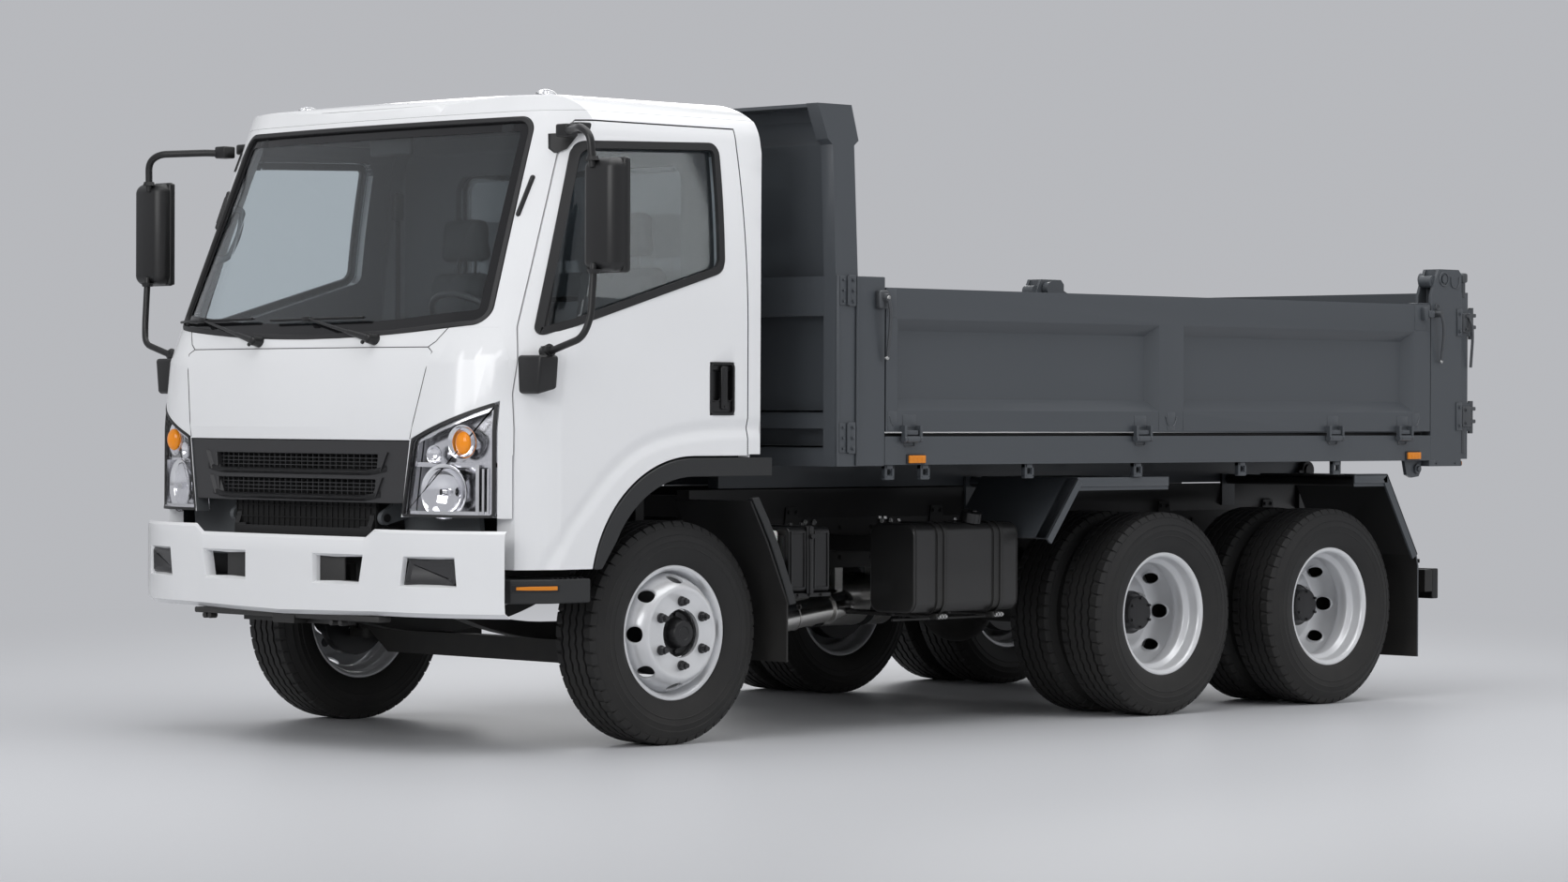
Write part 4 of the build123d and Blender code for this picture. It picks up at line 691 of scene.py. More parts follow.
# ---------------------------------------------------------------- headlamps
# A clear polycarbonate lens over a silver housing with a round dipped-beam bowl below and an amber indicator above.
# A dark rubber frame closes the gap to the sheet metal.
chrome = finish("lamp_chrome", (0.85, 0.85, 0.87), 0.08, metal=1.0, shade=0.02, grain=120.0, bump=0.05)
lamp_silver = finish("lamp_housing", (0.86, 0.86, 0.88), 0.16, metal=1.0, shade=0.08, patch=20.0, grain=200.0, bump=0.1)
lens_clear = finish("lamp_lens", (0.97, 0.97, 0.98), 0.02, shade=0.01, bump=0.004, dull=0.01,
                    sockets=(("Transmission Weight", 1.0), ("IOR", 1.12)))
amber = finish("lamp_amber", (0.85, 0.27, 0.01), 0.12, shade=0.1, patch=30.0, grain=150.0, bump=0.1,
               sockets=(("Emission Color", (0.9, 0.3, 0.01, 1)), ("Emission Strength", 0.12)))
LAMP = ((578.0, 799.0), (928.0, 799.0), (928.0, 1188.0), (623.0, 1064.0))
LAMP_SPLIT = 976.0                     # height of the shelf between the chambers
BOWL_AIM = (0.25, -1, 0.0)


def bowl_in(bm, centre, radius, depth, steps=28):
    """A round reflector bowl, open towards its aim."""
    profile = [(0.06, -1.0), (0.35, -0.93), (0.62, -0.72), (0.84, -0.38), (1.0, 0.0), (1.06, 0.02), (1.06, -0.06)]
    before = set(bm.verts)
    verts = [bm.verts.new((share * radius, 0, level * depth)) for share, level in profile]
    edges = [bm.edges.new(pair) for pair in zip(verts, verts[1:])]
    bmesh.ops.spin(bm, geom=verts + edges, cent=(0, 0, 0), axis=(0, 0, 1), dvec=(0, 0, 0),
                   angle=math.tau, steps=steps, use_merge=True, use_duplicate=False)
    turn = Vector(BOWL_AIM).to_track_quat("Z", "Y").to_matrix().to_4x4()
    bmesh.ops.transform(bm, matrix=Matrix.Translation(centre) @ turn,
                        verts=[vert for vert in bm.verts if vert not in before])


for side in ("left", "right"):
    bm = laid_band(LAMP, "y", 14.0, 12.0, front_skin, -2.0, 3.0, cuts=8, keep_middle=True)
    lens = new_piece("headlamp_lens_" + side, sided(bm, side), lens_clear, "cab")
    if side == "left":
        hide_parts("headlamps")
    bm = laid_band(LAMP, "y", 16.0, 9.0, front_skin, 2.5, 12.0, cuts=8)
    new_piece("headlamp_frame_" + side, sided(bm, side), rubber, "cab", edge=1.5)
    bm = laid_band(LAMP, "y", 14.0, 12.0, front_skin, -60.0, 4.0, cuts=8, keep_middle=True)
    new_piece("headlamp_back_" + side, sided(bm, side), lamp_silver, "cab")
    # silver surrounds: a band inside the lens, the shelf between the chambers and an upright bar
    bm = laid_band([(x + (4 if x < 800 else -6), z + (5 if z < 1000 else -6)) for x, z in LAMP], "y", 14.0, 16.0,
                   front_skin, -14.0, 6.0, cuts=8)
    for x0, x1, z0, z1 in ((590, 922, LAMP_SPLIT - 8, LAMP_SPLIT + 8), (866, 876, 806, LAMP_SPLIT),
                           (884, 890, 812, LAMP_SPLIT - 12), (898, 904, 812, LAMP_SPLIT - 12)):
        verts = block_in(bm, (x0, x1), (0, 40), (z0, z1))
        for vert in verts:
            vert.co.y += front_skin(vert.co.x, vert.co.z) + 12
    new_piece("headlamp_surround_" + side, sided(bm, side), lamp_silver, "cab", edge=1.5)
    bm = bmesh.new()
    dipped, indicator = front_skin(742, 885), front_skin(806, 1052) + 34
    bowl_in(bm, (742, dipped + 30, 884), 90, 46)
    rod_in(bm, (742, dipped + 56, 884), (735, dipped + 24, 884), 13, 11, 16)
    bowl_in(bm, (806, indicator, 1052), 56, 34)
    bowl_in(bm, (700, front_skin(700, 1012) + 30, 1010), 30, 20)
    new_piece("headlamp_bowls_" + side, sided(bm, side), chrome, "cab", smooth=50)
    bm = bmesh.new()
    bulb = bmesh.ops.create_uvsphere(bm, u_segments=20, v_segments=12, radius=34)["verts"]
    bmesh.ops.scale(bm, vec=(1.0, 0.55, 1.15), verts=bulb)
    bmesh.ops.translate(bm, vec=(812, indicator, 1050), verts=bulb)
    new_piece("headlamp_indicator_" + side, sided(bm, side), amber, "cab")

# ---------------------------------------------------------------- front bumper
# A one-piece moulded and painted bumper with a raised edge at each end, two cooling openings in the middle and
# two black blanks where fog lamps can go. It bolts to two brackets at the ends of the frame rails.
NOSE_ARC = circle_through((-520.0, -973.0), (0.0, -990.0), (520.0, -973.0))
WING_ARC = circle_through((520.0, -973.0), (800.0, -930.0), (999.0, -813.0))
BUMPER_COLUMNS = (0, 94, 188, 300, 430, 455, 500, 560, 640, 720, 790, 852, 905, 960, 986, 999)
BUMPER_ROWS = (756.0, 746.0, 716.0, 668.0, 565.0, 520.0, 478.0, 462.0)
OPENING, BLANK = (188, 430), (640, 852)
ROW_BACK = (10, 1, 0, 0, 0, 0, 3, 26)  # how far each row stands behind the bumper's face
# columns that slope outwards where the cooling openings and the blanks end: column, row, shift
SLOPED = {(430, 0): 22, (430, 1): 22, (430, 2): 22, (430, 3): 22, (640, 3): 16, (852, 4): 8}


def bumper_skin(x):
    x = abs(x)
    centre_x, centre_y, radius = NOSE_ARC if x <= 520 else WING_ARC
    return centre_y - math.sqrt(max(radius ** 2 - (x - centre_x) ** 2, 0.0))


def bumper_vert(x, row):
    """Place of a bumper grid point, with its stepped top, sloped openings and tucked lower edge."""
    z = BUMPER_ROWS[row]
    size = abs(x)
    if row <= 1:
        step = min(max((size - 455) / 45, 0.0), 1.0)
        z -= 28 * (1 - step)
    if row >= 6:
        z -= 10 * (1 - min(size / 560, 1.0))
    x += math.copysign(SLOPED.get((size, row), 0), x)
    return Vector((x, bumper_skin(x) + ROW_BACK[row], z))


bm = bmesh.new()
columns = [-x for x in reversed(BUMPER_COLUMNS[1:])] + list(BUMPER_COLUMNS)
grid = [[bm.verts.new(bumper_vert(x, row)) for x in columns] for row in range(len(BUMPER_ROWS))]
openings, blanks = [], []
for row in range(len(BUMPER_ROWS) - 1):
    for i in range(len(columns) - 1):
        middle = abs(columns[i] + columns[i + 1]) / 2
        if row != 3 or not OPENING[0] < middle < OPENING[1]:
            bm.faces.new((grid[row][i], grid[row][i + 1], grid[row + 1][i + 1], grid[row + 1][i]))
for side in (-1, 1):
    for inner, outer, made in ((*OPENING, openings), (*BLANK, blanks)):
        run = [i for i, x in enumerate(columns) if inner <= abs(x) <= outer and x * side > 0]
        loop = [grid[3][i] for i in run] + [grid[4][i] for i in reversed(run)]
        doomed = [face for face in bm.faces if len(face.verts) == 4 and all(vert in loop for vert in face.verts)]
        bmesh.ops.delete(bm, geom=doomed, context="FACES_ONLY")
        made.append(bm.faces.new(loop))
face_front(bm)
for faces, thickness, depth in ((openings, 11, -13), (openings, 1, -26), (blanks, 8, -10), (blanks, 1, -8)):
    bmesh.ops.inset_individual(bm, faces=faces, thickness=thickness, depth=depth)
bmesh.ops.delete(bm, geom=openings + blanks, context="FACES_ONLY")
bmesh.ops.solidify(bm, geom=list(bm.faces), thickness=5)
bumper = new_piece("front_bumper_shell", bm, cab_white, "chassis", edge=5.0, segments=3)
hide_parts("front_bumper")

for side in ("left", "right"):
    bm = bmesh.new()
    corners = ((648, 570), (846, 573), (852, 660), (668, 660))
    inner_y, outer_y = bumper_skin(648) + 12, bumper_skin(852) + 12
    face = bm.faces.new([bm.verts.new((x, inner_y + (outer_y - inner_y) * (x - 648) / 204, z)) for x, z in corners])
    round_corners(bm, face, 12.0, 4)
    face_front(bm)
    bmesh.ops.inset_individual(bm, faces=[bm.faces[0]], thickness=8, depth=5)
    bm.faces.ensure_lookup_table()
    flat = max(bm.faces, key=lambda item: item.calc_area())
    bmesh.ops.inset_individual(bm, faces=[flat], thickness=12, depth=-6)
    bmesh.ops.solidify(bm, geom=list(bm.faces), thickness=4)
    new_piece("fog_blank_" + side, sided(bm, side), grille_plastic, "chassis",
              edge=1.5)

# ---------------------------------------------------------------- bumper brackets and lower tray
# Black painted steel brackets between the rails and the bumper, and the plastic tray that closes its lower edge.
# Brackets are bolted to the rails' ends; the tray hangs on four studs.
bracket_black = finish("chassis_black", (0.012, 0.012, 0.013), 0.5, shade=0.15, grain=200.0, bump=0.06, dust=0.25)
bm = bmesh.new()
for side in (-1, 1):
    block_in(bm, tuple(sorted((side * 325, side * 379))), (-975, -885), (676, 718), 3)
block_in(bm, (-520, 520), (-962, -905), (438, 458), 5)
block_in(bm, (-330, 330), (-958, -950), (458, 700), 2)
for x in (-470, -440, 250, 300):
    rod_in(bm, (x, -955, 430), (x, -925, 430), 11, segments=12)
new_piece("bumper_brackets", bm, bracket_black, "chassis", edge=1.5)
# ---------------------------------------------------------------- tyres
# Radial highway tyres of black rubber with four zig-zag grooves, slotted shoulders and fine rings on the sidewalls.
# Each is mounted on its rim and held by the air in it.
TYRE_R = 390.0
SIDEWALL = ((84, 234), (93, 237), (99, 246), (108, 268), (114, 296), (115.5, 318), (112, 340), (105, 358),
            (97, 371), (93, 377), (88, 381))
RIBS = ((-49, -20), (-13, 13), (20, 49))          # edges across of the three middle ribs
SHOULDER = ((56, 377), (57.5, 390), (87, 388.5), (95, 379.5), (100, 370), (98, 366))
PITCHES = 52
tyre_rubber = finish("tyre_rubber", (0.0125, 0.0125, 0.013), 0.62, shade=0.2, patch=6.0, grain=900.0, bump=0.12,
                     dust=0.12, dust_top=0.85, sockets=(("Specular IOR Level", 0.4),))


def spin_in(bm, points, steps, cap=False):
    """Turns a profile of (across, radius) points about the wheel's axis."""
    verts = [bm.verts.new((x, 0, r)) for x, r in points]
    edges = [bm.edges.new(pair) for pair in zip(verts, verts[1:])]
    if cap:
        edges.append(bm.edges.new((verts[-1], verts[0])))
    before = set(bm.verts)
    bmesh.ops.spin(bm, geom=verts + edges, cent=(0, 0, 0), axis=(1, 0, 0), dvec=(0, 0, 0), angle=math.tau,
                   steps=steps, use_merge=True, use_duplicate=False)
    return verts + [vert for vert in bm.verts if vert not in before]


def tyre_mesh():
    """One tyre at the origin, its axis along X, in millimetres."""
    bm = bmesh.new()
    rings = []
    for x, r in SIDEWALL:
        rings.append((x, r))
        if r in (296, 318, 340):
            rings += [(x + 1.6, r + 2), (x + 1.4, r + 4), (x, r + 6)]
    spin_in(bm, [(-x, r) for x, r in rings] + [(x, r) for x, r in reversed(rings)], 96)
    steps = PITCHES * 4
    ribs = [[(left, 377), (left + 1.5, TYRE_R), (right - 1.5, TYRE_R), (right, 377)] for left, right in RIBS]
    ribs += [list(SHOULDER), [(-x, r) for x, r in reversed(SHOULDER)]]
    for points in ribs:
        for vert in spin_in(bm, points, steps):
            angle = math.atan2(vert.co.z, vert.co.y)
            radius = math.hypot(vert.co.y, vert.co.z)
            phase = round(angle / math.tau * steps) % 4
            if abs(vert.co.x) > 80:         # a slot in the shoulder, then a block
                shift = (0.64, 0.0, -0.64, 0.0)[phase]
                if phase == 1:
                    radius -= 8
                    vert.co.x -= math.copysign(5, vert.co.x)
            else:                           # the zig-zag of a groove's edge
                shift = (0.0, -0.3, 0.0, -0.3)[phase]
                vert.co.x += (1, 3, -1, -3)[phase]
            turn = angle + shift * math.tau / steps
            vert.co.y, vert.co.z = radius * math.cos(turn), radius * math.sin(turn)
    return bm


def join(bm, other):
    """Adds another bmesh and frees it."""
    mesh = mesh_from(other, "joined")
    bm.from_mesh(mesh)
    bpy.data.meshes.remove(mesh)


def wheel_place(across, along, side, turned=False):
    """Moves a wheel drawn at the origin to its place on a side, its disc turned inwards where asked."""
    flip = (side == "right") != turned
    place = Matrix.Translation((across if side == "left" else -across, along, TYRE_R))
    return place @ Matrix.Rotation(math.pi if flip else 0.0, 4, "Z")


def axle_node(axle, part, side):
    """Name of the node or body at one end of an axle, where the rear ends carry two of each part."""
    return f"front_{part}_{side}" if axle == "front" else f"{axle}_{part}s_{side}"


# axle, place along, the tyres' places across from the outer one, disc turned inwards
AXLES = (("front", 0.0, ((863.0, False),)), ("middle", 2427.0, ((1003.0, True), (741.0, False))),
         ("rear", 3438.0, ((1003.0, True), (741.0, False))))
for axle, along, places in AXLES:
    for side in ("left", "right"):
        for index, (across, dished) in enumerate(places):
            bm = tyre_mesh()
            bmesh.ops.rotate(bm, cent=(0, 0, 0), matrix=Matrix.Rotation(0.37 * index + along, 3, "X"), verts=bm.verts)
            bm.transform(wheel_place(across, along, side))
            name = f"{axle}_tread_{side}" + ("" if axle == "front" else ("_outer", "_inner")[index])
            tyre = new_piece(name, bm, tyre_rubber, axle_node(axle, "wheel", side), smooth=24)
            if index == 0:
                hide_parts(axle_node(axle, "tyre", side))

# ---------------------------------------------------------------- rims and discs
# Six-stud wheels of rolled and welded steel, painted silver, with eight hand holes punched in each disc.
# The front discs bulge outwards; the rear pairs are dished and clamped disc to disc.
wheel_silver = finish("wheel_silver", (0.74, 0.75, 0.77), 0.30, metal=0.35, coat=0.25, shade=0.05, grain=700.0,
                      bump=0.03, dust=0.1, dust_top=0.8)
BARREL_OUT = ((90, 228), (90.5, 233), (87, 237), (82.5, 236), (79, 231), (77.5, 223.5), (74, 222), (32, 221.5),
              (26, 214), (20, 201))
BARREL_IN = ((20, 193), (27, 196), (34, 209), (42, 213.5), (72, 214.5), (80, 216.5), (86, 221))
SLOPE = ((48.0, 206.0), (72.0, 199.0), (96.0, 189.0), (114.0, 178.0), (125.0, 167.0))
FACE_RINGS = ((129.5, 161.0), (131.5, 155.0), (130.5, 149.0), (128.0, 144.0), (128.0, 90.0), (127.0, 84.5),
              (114.0, 83.0))
ROOT_RINGS = ((36.0, 209.0), (27.0, 206.0), (20.0, 198.0))
HAND_HOLES, HAND_HOLE_R, SLOPE_R, SLOPE_REACH = 8, 29.0, 190.0, 41.0


def on_slope(share):
    """Place across and radius on the disc's sloping wall, from -1 at the rim to 1 at the face."""
    step = (share + 1) / 2 * (len(SLOPE) - 1)
    first = max(0, min(int(step), len(SLOPE) - 2))
    return [a + (b - a) * (step - first) for a, b in zip(SLOPE[first], SLOPE[first + 1])]


def disc_in(bm):
    """Wheel disc with its hand holes and rings, its face towards +X."""
    pitch = math.tau / HAND_HOLES
    half_u = SLOPE_R * pitch / 2
    across = []
    for sector in range(HAND_HOLES):
        loops = []
        for size, depth in ((None, 0), (37.0, 0), (31.0, 0), (HAND_HOLE_R, 1.5), (HAND_HOLE_R - 0.5, 9)):
            loop = []
            for ray in range(24):
                swing = math.radians(ray * 15)
                u, v = math.sin(swing), math.cos(swing)
                if size is None:
                    if abs(ray % 12 - 6) == 2:
                        u, v = math.copysign(half_u, u), math.copysign(SLOPE_REACH, v)
                    elif abs(ray % 12 - 6) < 2:
                        u, v = math.copysign(half_u, u), v * half_u / abs(u)
                    else:
                        u, v = u * SLOPE_REACH / abs(v), math.copysign(SLOPE_REACH, v)
                    if sector == 0 and v > SLOPE_REACH - 0.1 and u < half_u - 0.1:
                        across.append(u)
                else:
                    u, v = u * size, v * size
                x, r = on_slope(v / SLOPE_REACH)
                turn = sector * pitch + u / SLOPE_R
                x, r = x - 0.447 * depth, r - 0.894 * depth
                loop.append(bm.verts.new((x, r * math.cos(turn), r * math.sin(turn))))
            loops.append(loop)
        for first, second in zip(loops, loops[1:]):
            for ray in range(24):
                bm.faces.new((first[ray - 1], first[ray], second[ray], second[ray - 1]))
    turns = sorted(sector * pitch + u / SLOPE_R for sector in range(HAND_HOLES) for u in across)
    for rings in ((SLOPE[-1],) + FACE_RINGS, (SLOPE[0],) + ROOT_RINGS):
        rows = [[bm.verts.new((x, r * math.cos(turn), r * math.sin(turn))) for turn in turns] for x, r in rings]
        for first, second in zip(rows, rows[1:]):
            for index in range(len(turns)):
                bm.faces.new((first[index - 1], first[index], second[index], second[index - 1]))
    bmesh.ops.remove_doubles(bm, verts=bm.verts, dist=0.05)


for axle, along, places in AXLES:
    for side in ("left", "right"):
        node = axle_node(axle, "wheel", side)
        bm = bmesh.new()
        for across_x, dished in places:
            one = bmesh.new()
            profile = BARREL_OUT + tuple((-x, r) for x, r in reversed(BARREL_OUT))
            profile += tuple((-x, r) for x, r in reversed(BARREL_IN)) + BARREL_IN
            spin_in(one, profile, 96, cap=True)
            disc_in(one)
            one.transform(wheel_place(across_x, along, side, dished))
            join(bm, one)
        rims = new_piece(node + "_rims", bm, wheel_silver, node, smooth=50)
        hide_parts(node)

# ---------------------------------------------------------------- hubs, drums and wheel nuts
# Cast hubs in black paint with a pressed cap, cast brake drums behind the discs, and six nuts on each hub.
# The front nuts are darkened; the rear ones are plain zinc.
hub_black = finish("hub_black", (0.012, 0.012, 0.013), 0.36, shade=0.2, grain=300.0, bump=0.1)
nut_dark = finish("nut_dark", (0.06, 0.06, 0.063), 0.36, metal=0.7, shade=0.2, grain=300.0, bump=0.08)
nut_zinc = finish("nut_zinc", (0.50, 0.50, 0.50), 0.38, metal=0.8, shade=0.2, grain=300.0, bump=0.08)
FRONT_CAP = ((60, 83), (104, 83), (106, 80), (96, 73), (96, 56), (101, 51), (108, 48), (136, 46), (142, 42), (144, 35),
             (144, 24), (141, 22), (141, 0.01))
REAR_CAP = ((-30, 83), (58, 83), (63, 79), (64, 73), (70, 69), (98, 66), (104, 60), (106, 50), (106, 0.01))
FRONT_DRUM = ((-60, 150), (-20, 150), (-15, 145), (-15, 60), (-60, 60))
REAR_DRUM = ((-212, 165), (-152, 165), (-147, 160), (-147, 80), (-212, 80))
STUD_R = 111.1
for axle, along, places in AXLES:
    front = axle == "front"
    centre = 863.0 if front else 872.0
    for side in ("left", "right"):
        body = axle_node(axle, "wheel", side)
        place = wheel_place(centre, along, side)
        bm = bmesh.new()
        spin_in(bm, FRONT_CAP if front else REAR_CAP, 48)
        spin_in(bm, FRONT_DRUM if front else REAR_DRUM, 48, cap=True)
        seat, ring = (96, 64) if front else (104, 56)
        for bolt in range(6):
            turn = math.tau * (bolt + 0.5) / 6
            y, z = ring * math.cos(turn), ring * math.sin(turn)
            rod_in(bm, (seat, y, z), (seat + 9, y, z), 8 if front else 6, segments=6)
        bmesh.ops.remove_doubles(bm, verts=bm.verts, dist=0.02)
        bm.transform(place)
        new_piece(f"{axle}_hub_{side}", bm, hub_black, body, edge=1.5)
        bm = bmesh.new()
        base = 127.0 if front else 4.0
        for nut in range(6):
            turn = math.tau * nut / 6 + math.pi / 2
            y, z = STUD_R * math.cos(turn), STUD_R * math.sin(turn)
            rod_in(bm, (base, y, z), (base + 8, y, z), 18, 17, segments=24)
            rod_in(bm, (base + 7, y, z), (base + 25, y, z), 15.5, 14, segments=6)
            rod_in(bm, (base + 24, y, z), (base + 36, y, z), 8.5, segments=12)
        bm.transform(place)
        new_piece(f"{axle}_nuts_{side}", bm, nut_dark if front else nut_zinc, body, edge=1.0)
# ---------------------------------------------------------------- pressed crease over the arch
# A soft valley pressed into the door skin and the rear quarter follows the wheel arch at a hand's width.
# It stiffens the sheet and sets off the flare below it.
VALLEY = ((-676, 580), (-640, 645), (-626, 671), (-599, 706), (-559, 766), (-499, 825), (-432, 895), (-364, 956),
          (-296, 1004), (-227, 1039), (-157, 1062), (-52, 1083), (53, 1095), (160, 1101), (420, 1104))
VALLEY_HALF, VALLEY_DEPTH = 35.0, 9.0
SKIN_TOP, SKIN_INSIDE = 1460.0, 940.0  # the skin that is cut lies below the one and outside the other


def valley_depth(y, z):
    """How far the crease draws the skin in at a place on the cab's side."""
    near = 1e9
    for (ay, az), (by, bz) in zip(VALLEY, VALLEY[1:]):
        share = ((y - ay) * (by - ay) + (z - az) * (bz - az)) / ((by - ay) ** 2 + (bz - az) ** 2)
        share = min(max(share, 0.0), 1.0)
        near = min(near, math.hypot(y - ay - share * (by - ay), z - az - share * (bz - az)))
    fade = max(0.0, 1 - near / VALLEY_HALF)
    return VALLEY_DEPTH * (fade if fade < 0.85 else 0.85 + (fade - 0.85) * 0.4)


def press_crease(piece, low_y, high_y):
    """Cuts the outer skin of a panel finely where the crease runs and draws it in."""
    bm = bmesh.new()
    bm.from_mesh(piece.data)
    bm.transform(TO_ROW.inverted())

    def skin():
        middles = [(face, face.calc_center_median()) for face in bm.faces if abs(face.normal.x) > 0.8]
        faces = [face for face, middle in middles if middle.z < SKIN_TOP and abs(middle.x) > SKIN_INSIDE
                 and face.normal.x * middle.x > 0]
        edges = {edge for face in faces for edge in face.edges}
        return faces + list(edges) + list({vert for edge in edges for vert in edge.verts})

    for level in range(596, 1150, 9):
        bmesh.ops.bisect_plane(bm, geom=skin(), dist=0.01, plane_co=(0, 0, level), plane_no=(0, 0, 1))
    for level in range(int(low_y), int(high_y), 10):
        bmesh.ops.bisect_plane(bm, geom=skin(), dist=0.01, plane_co=(0, level, 0), plane_no=(0, 1, 0))
    for vert in {item for item in skin() if isinstance(item, bmesh.types.BMVert)}:
        vert.co.x -= math.copysign(valley_depth(vert.co.y, vert.co.z), vert.co.x)
    bm.transform(TO_ROW)
    bm.to_mesh(piece.data)
    bm.free()
    shade_by_angle(piece.data, SHARP_ABOVE)


for side in ("left", "right"):
    press_crease(scene.objects["door_panel_" + side], -700, 270)
press_crease(scene.objects["cab_side_frame"], 262, 392)

# ---------------------------------------------------------------- door handles
# A black moulded cup let into the door with an upright pull and the loop of its lock.
# The cup clips into the door skin; the pull turns on a pin at its foot.
HANDLE_Y, HANDLE_Z, CUP_X = (86.0, 203.0), (1146.0, 1331.0), 1016.0
handle_black = finish("handle_black", (0.010, 0.010, 0.0105), 0.34, shade=0.1, grain=1500.0, bump=0.06)
RECESS = [(HANDLE_Y[i], HANDLE_Z[j]) for i, j in ((0, 0), (1, 0), (1, 1), (0, 1))]
for side in ("left", "right"):
    bm = laid_band(RECESS, "x", 20.0, 9.0, side_skin, 3.0, 24.0, cuts=0)
    # the cup's floor, its lower and upper ends, the pull and the pull's head
    for x, y, z, edge, segments in (((0, 4), (89, 200), (1149, 1328), 1, 2), ((0, 20), (93, 196), (1150, 1198), 7, 3),
                                    ((0, 14), (93, 196), (1302, 1326), 6, 3),
                                    ((15, 29), (139, 170), (1166, 1318), 6, 3),
                                    ((0, 20), (143, 166), (1296, 1318), 3, 2)):
        block_in(bm, (CUP_X + x[0], CUP_X + x[1]), y, z, edge, segments)
    rod_in(bm, (CUP_X + 28, 154, 1176), (CUP_X + 31, 154, 1176), 5, segments=16)
    for near, far in ((100, 136), (172, 194)):
        middle, half = (near + far) / 2, (far - near) / 2
        loop = [(CUP_X + 21, middle + half * math.cos(turn), 1204 - 9 * math.sin(turn))
                for turn in [math.pi * step / 8 for step in range(9)]]
        tube_in(bm, loop, 2.2, segments=8)
    new_piece("door_handle_" + side, sided(bm, side), handle_black, "door_" + side,
              smooth=40)

# ---------------------------------------------------------------- door mirrors
# Each mirror has a moulded black head round a silvered plate, held by bent steel tubes painted black.
# The upper tube is clamped to a foot at the door's top corner, the lower one to a box on the door skin.
mirror_black = finish("mirror_black", (0.011, 0.011, 0.0115), 0.40, shade=0.08, grain=1600.0, bump=0.08)
silvered = finish("mirror_silver", (0.75, 0.77, 0.79), 0.03, metal=1.0, shade=0.01, grain=60.0, bump=0.003)
HEAD_X, HEAD_Y, HEAD_Z = (1180.0, 1345.0), (-652.0, -566.0), (1622.0, 2001.0)
UPPER_TUBE = ((948, -502, 2104), (1010, -534, 2110), (1178, -640, 2106), (1234, -646, 2078), (1240, -640, 1970))
LOWER_TUBE = ((1248, -640, 1650), (1246, -652, 1468), (1222, -668, 1402), (1066, -668, 1360), (1044, -668, 1356))
for side in ("left", "right"):
    bm = bmesh.new()
    # head: a crowned shell, deeper in the middle than at its upright edges
    head = block_in(bm, HEAD_X, HEAD_Y, HEAD_Z, 34, 8)
    middle_x, middle_z = sum(HEAD_X) / 2, sum(HEAD_Z) / 2
    for vert in head:
        if vert.co.y < HEAD_Y[1] - 30:
            vert.co.y += 10 * ((vert.co.x - middle_x) / 82) ** 2 + 12 * ((vert.co.z - middle_z) / 190) ** 4
    block_in(bm, (HEAD_X[0] - 3, HEAD_X[1] + 3), (HEAD_Y[1] - 26, HEAD_Y[1] - 2), (HEAD_Z[0] - 3, HEAD_Z[1] + 3), 11, 5)
    block_in(bm, (HEAD_X[0] + 1, HEAD_X[1] - 1), (HEAD_Y[1] - 8, HEAD_Y[1] + 3), (HEAD_Z[0] + 1, HEAD_Z[1] - 1), 5, 3)
    for x, end, inner in ((1240, 2006, 1992), (1248, 1616, 1630)):
        rod_in(bm, (x, -640, end), (x, -640, inner), 19, 24, 20)
    shell = new_piece("mirror_head_" + side, sided(bm, side), mirror_black, "door_" + side,
                      smooth=40)
    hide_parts("mirror_" + side)
    bm = bmesh.new()
    for z in ((1762, HEAD_Z[1] - 14), (HEAD_Z[0] + 14, 1746)):
        block_in(bm, (HEAD_X[0] + 14, HEAD_X[1] - 14), (HEAD_Y[1] + 2, HEAD_Y[1] + 5), z, 1.4)
    new_piece("mirror_plates_" + side, sided(bm, side), silvered, "door_" + side)
    bm = bmesh.new()
    tube_in(bm, UPPER_TUBE, 13, segments=18, rounding=46, steps=8)
    tube_in(bm, LOWER_TUBE, 12, segments=18, rounding=52, steps=8)
    block_in(bm, (925, 985), (-531, -478), (2088, 2132), 6)          # clamp on the tube's end
    block_in(bm, (905, 960), (-452, -392), (2104, 2142), 7)          # hook over the drip rail
    foot = prism_in(bm, [(-512, 2052), (-504, 2036), (-478, 2050), (-446, 2094), (-452, 2106), (-500, 2104)], "x",
                    (936, 968))
    for vert in foot:
        vert.co.x = side_skin(vert.co.y, vert.co.z) + (13 if vert.co.x > 950 else -14)
    rod_in(bm, (1030, -668, 1352), (1064, -668, 1364), 24, 22, 24)
    rod_in(bm, (1047, -668, 1336), (1047, -668, 1376), 23, 23, 24)
    box = block_in(bm, (958, 1080), (-727, -643), (1216, 1346), 12, 4)
    for vert in box:
        if vert.co.z < 1262:
            vert.co.z += (1262 - vert.co.z) * max(0.0, (vert.co.y + 705) / 160)
            vert.co.x -= max(0.0, vert.co.x - 1040) * (1262 - vert.co.z) / 90
    new_piece("mirror_arms_" + side, sided(bm, side), mirror_black, "door_" + side,
              smooth=40, edge=1.2)

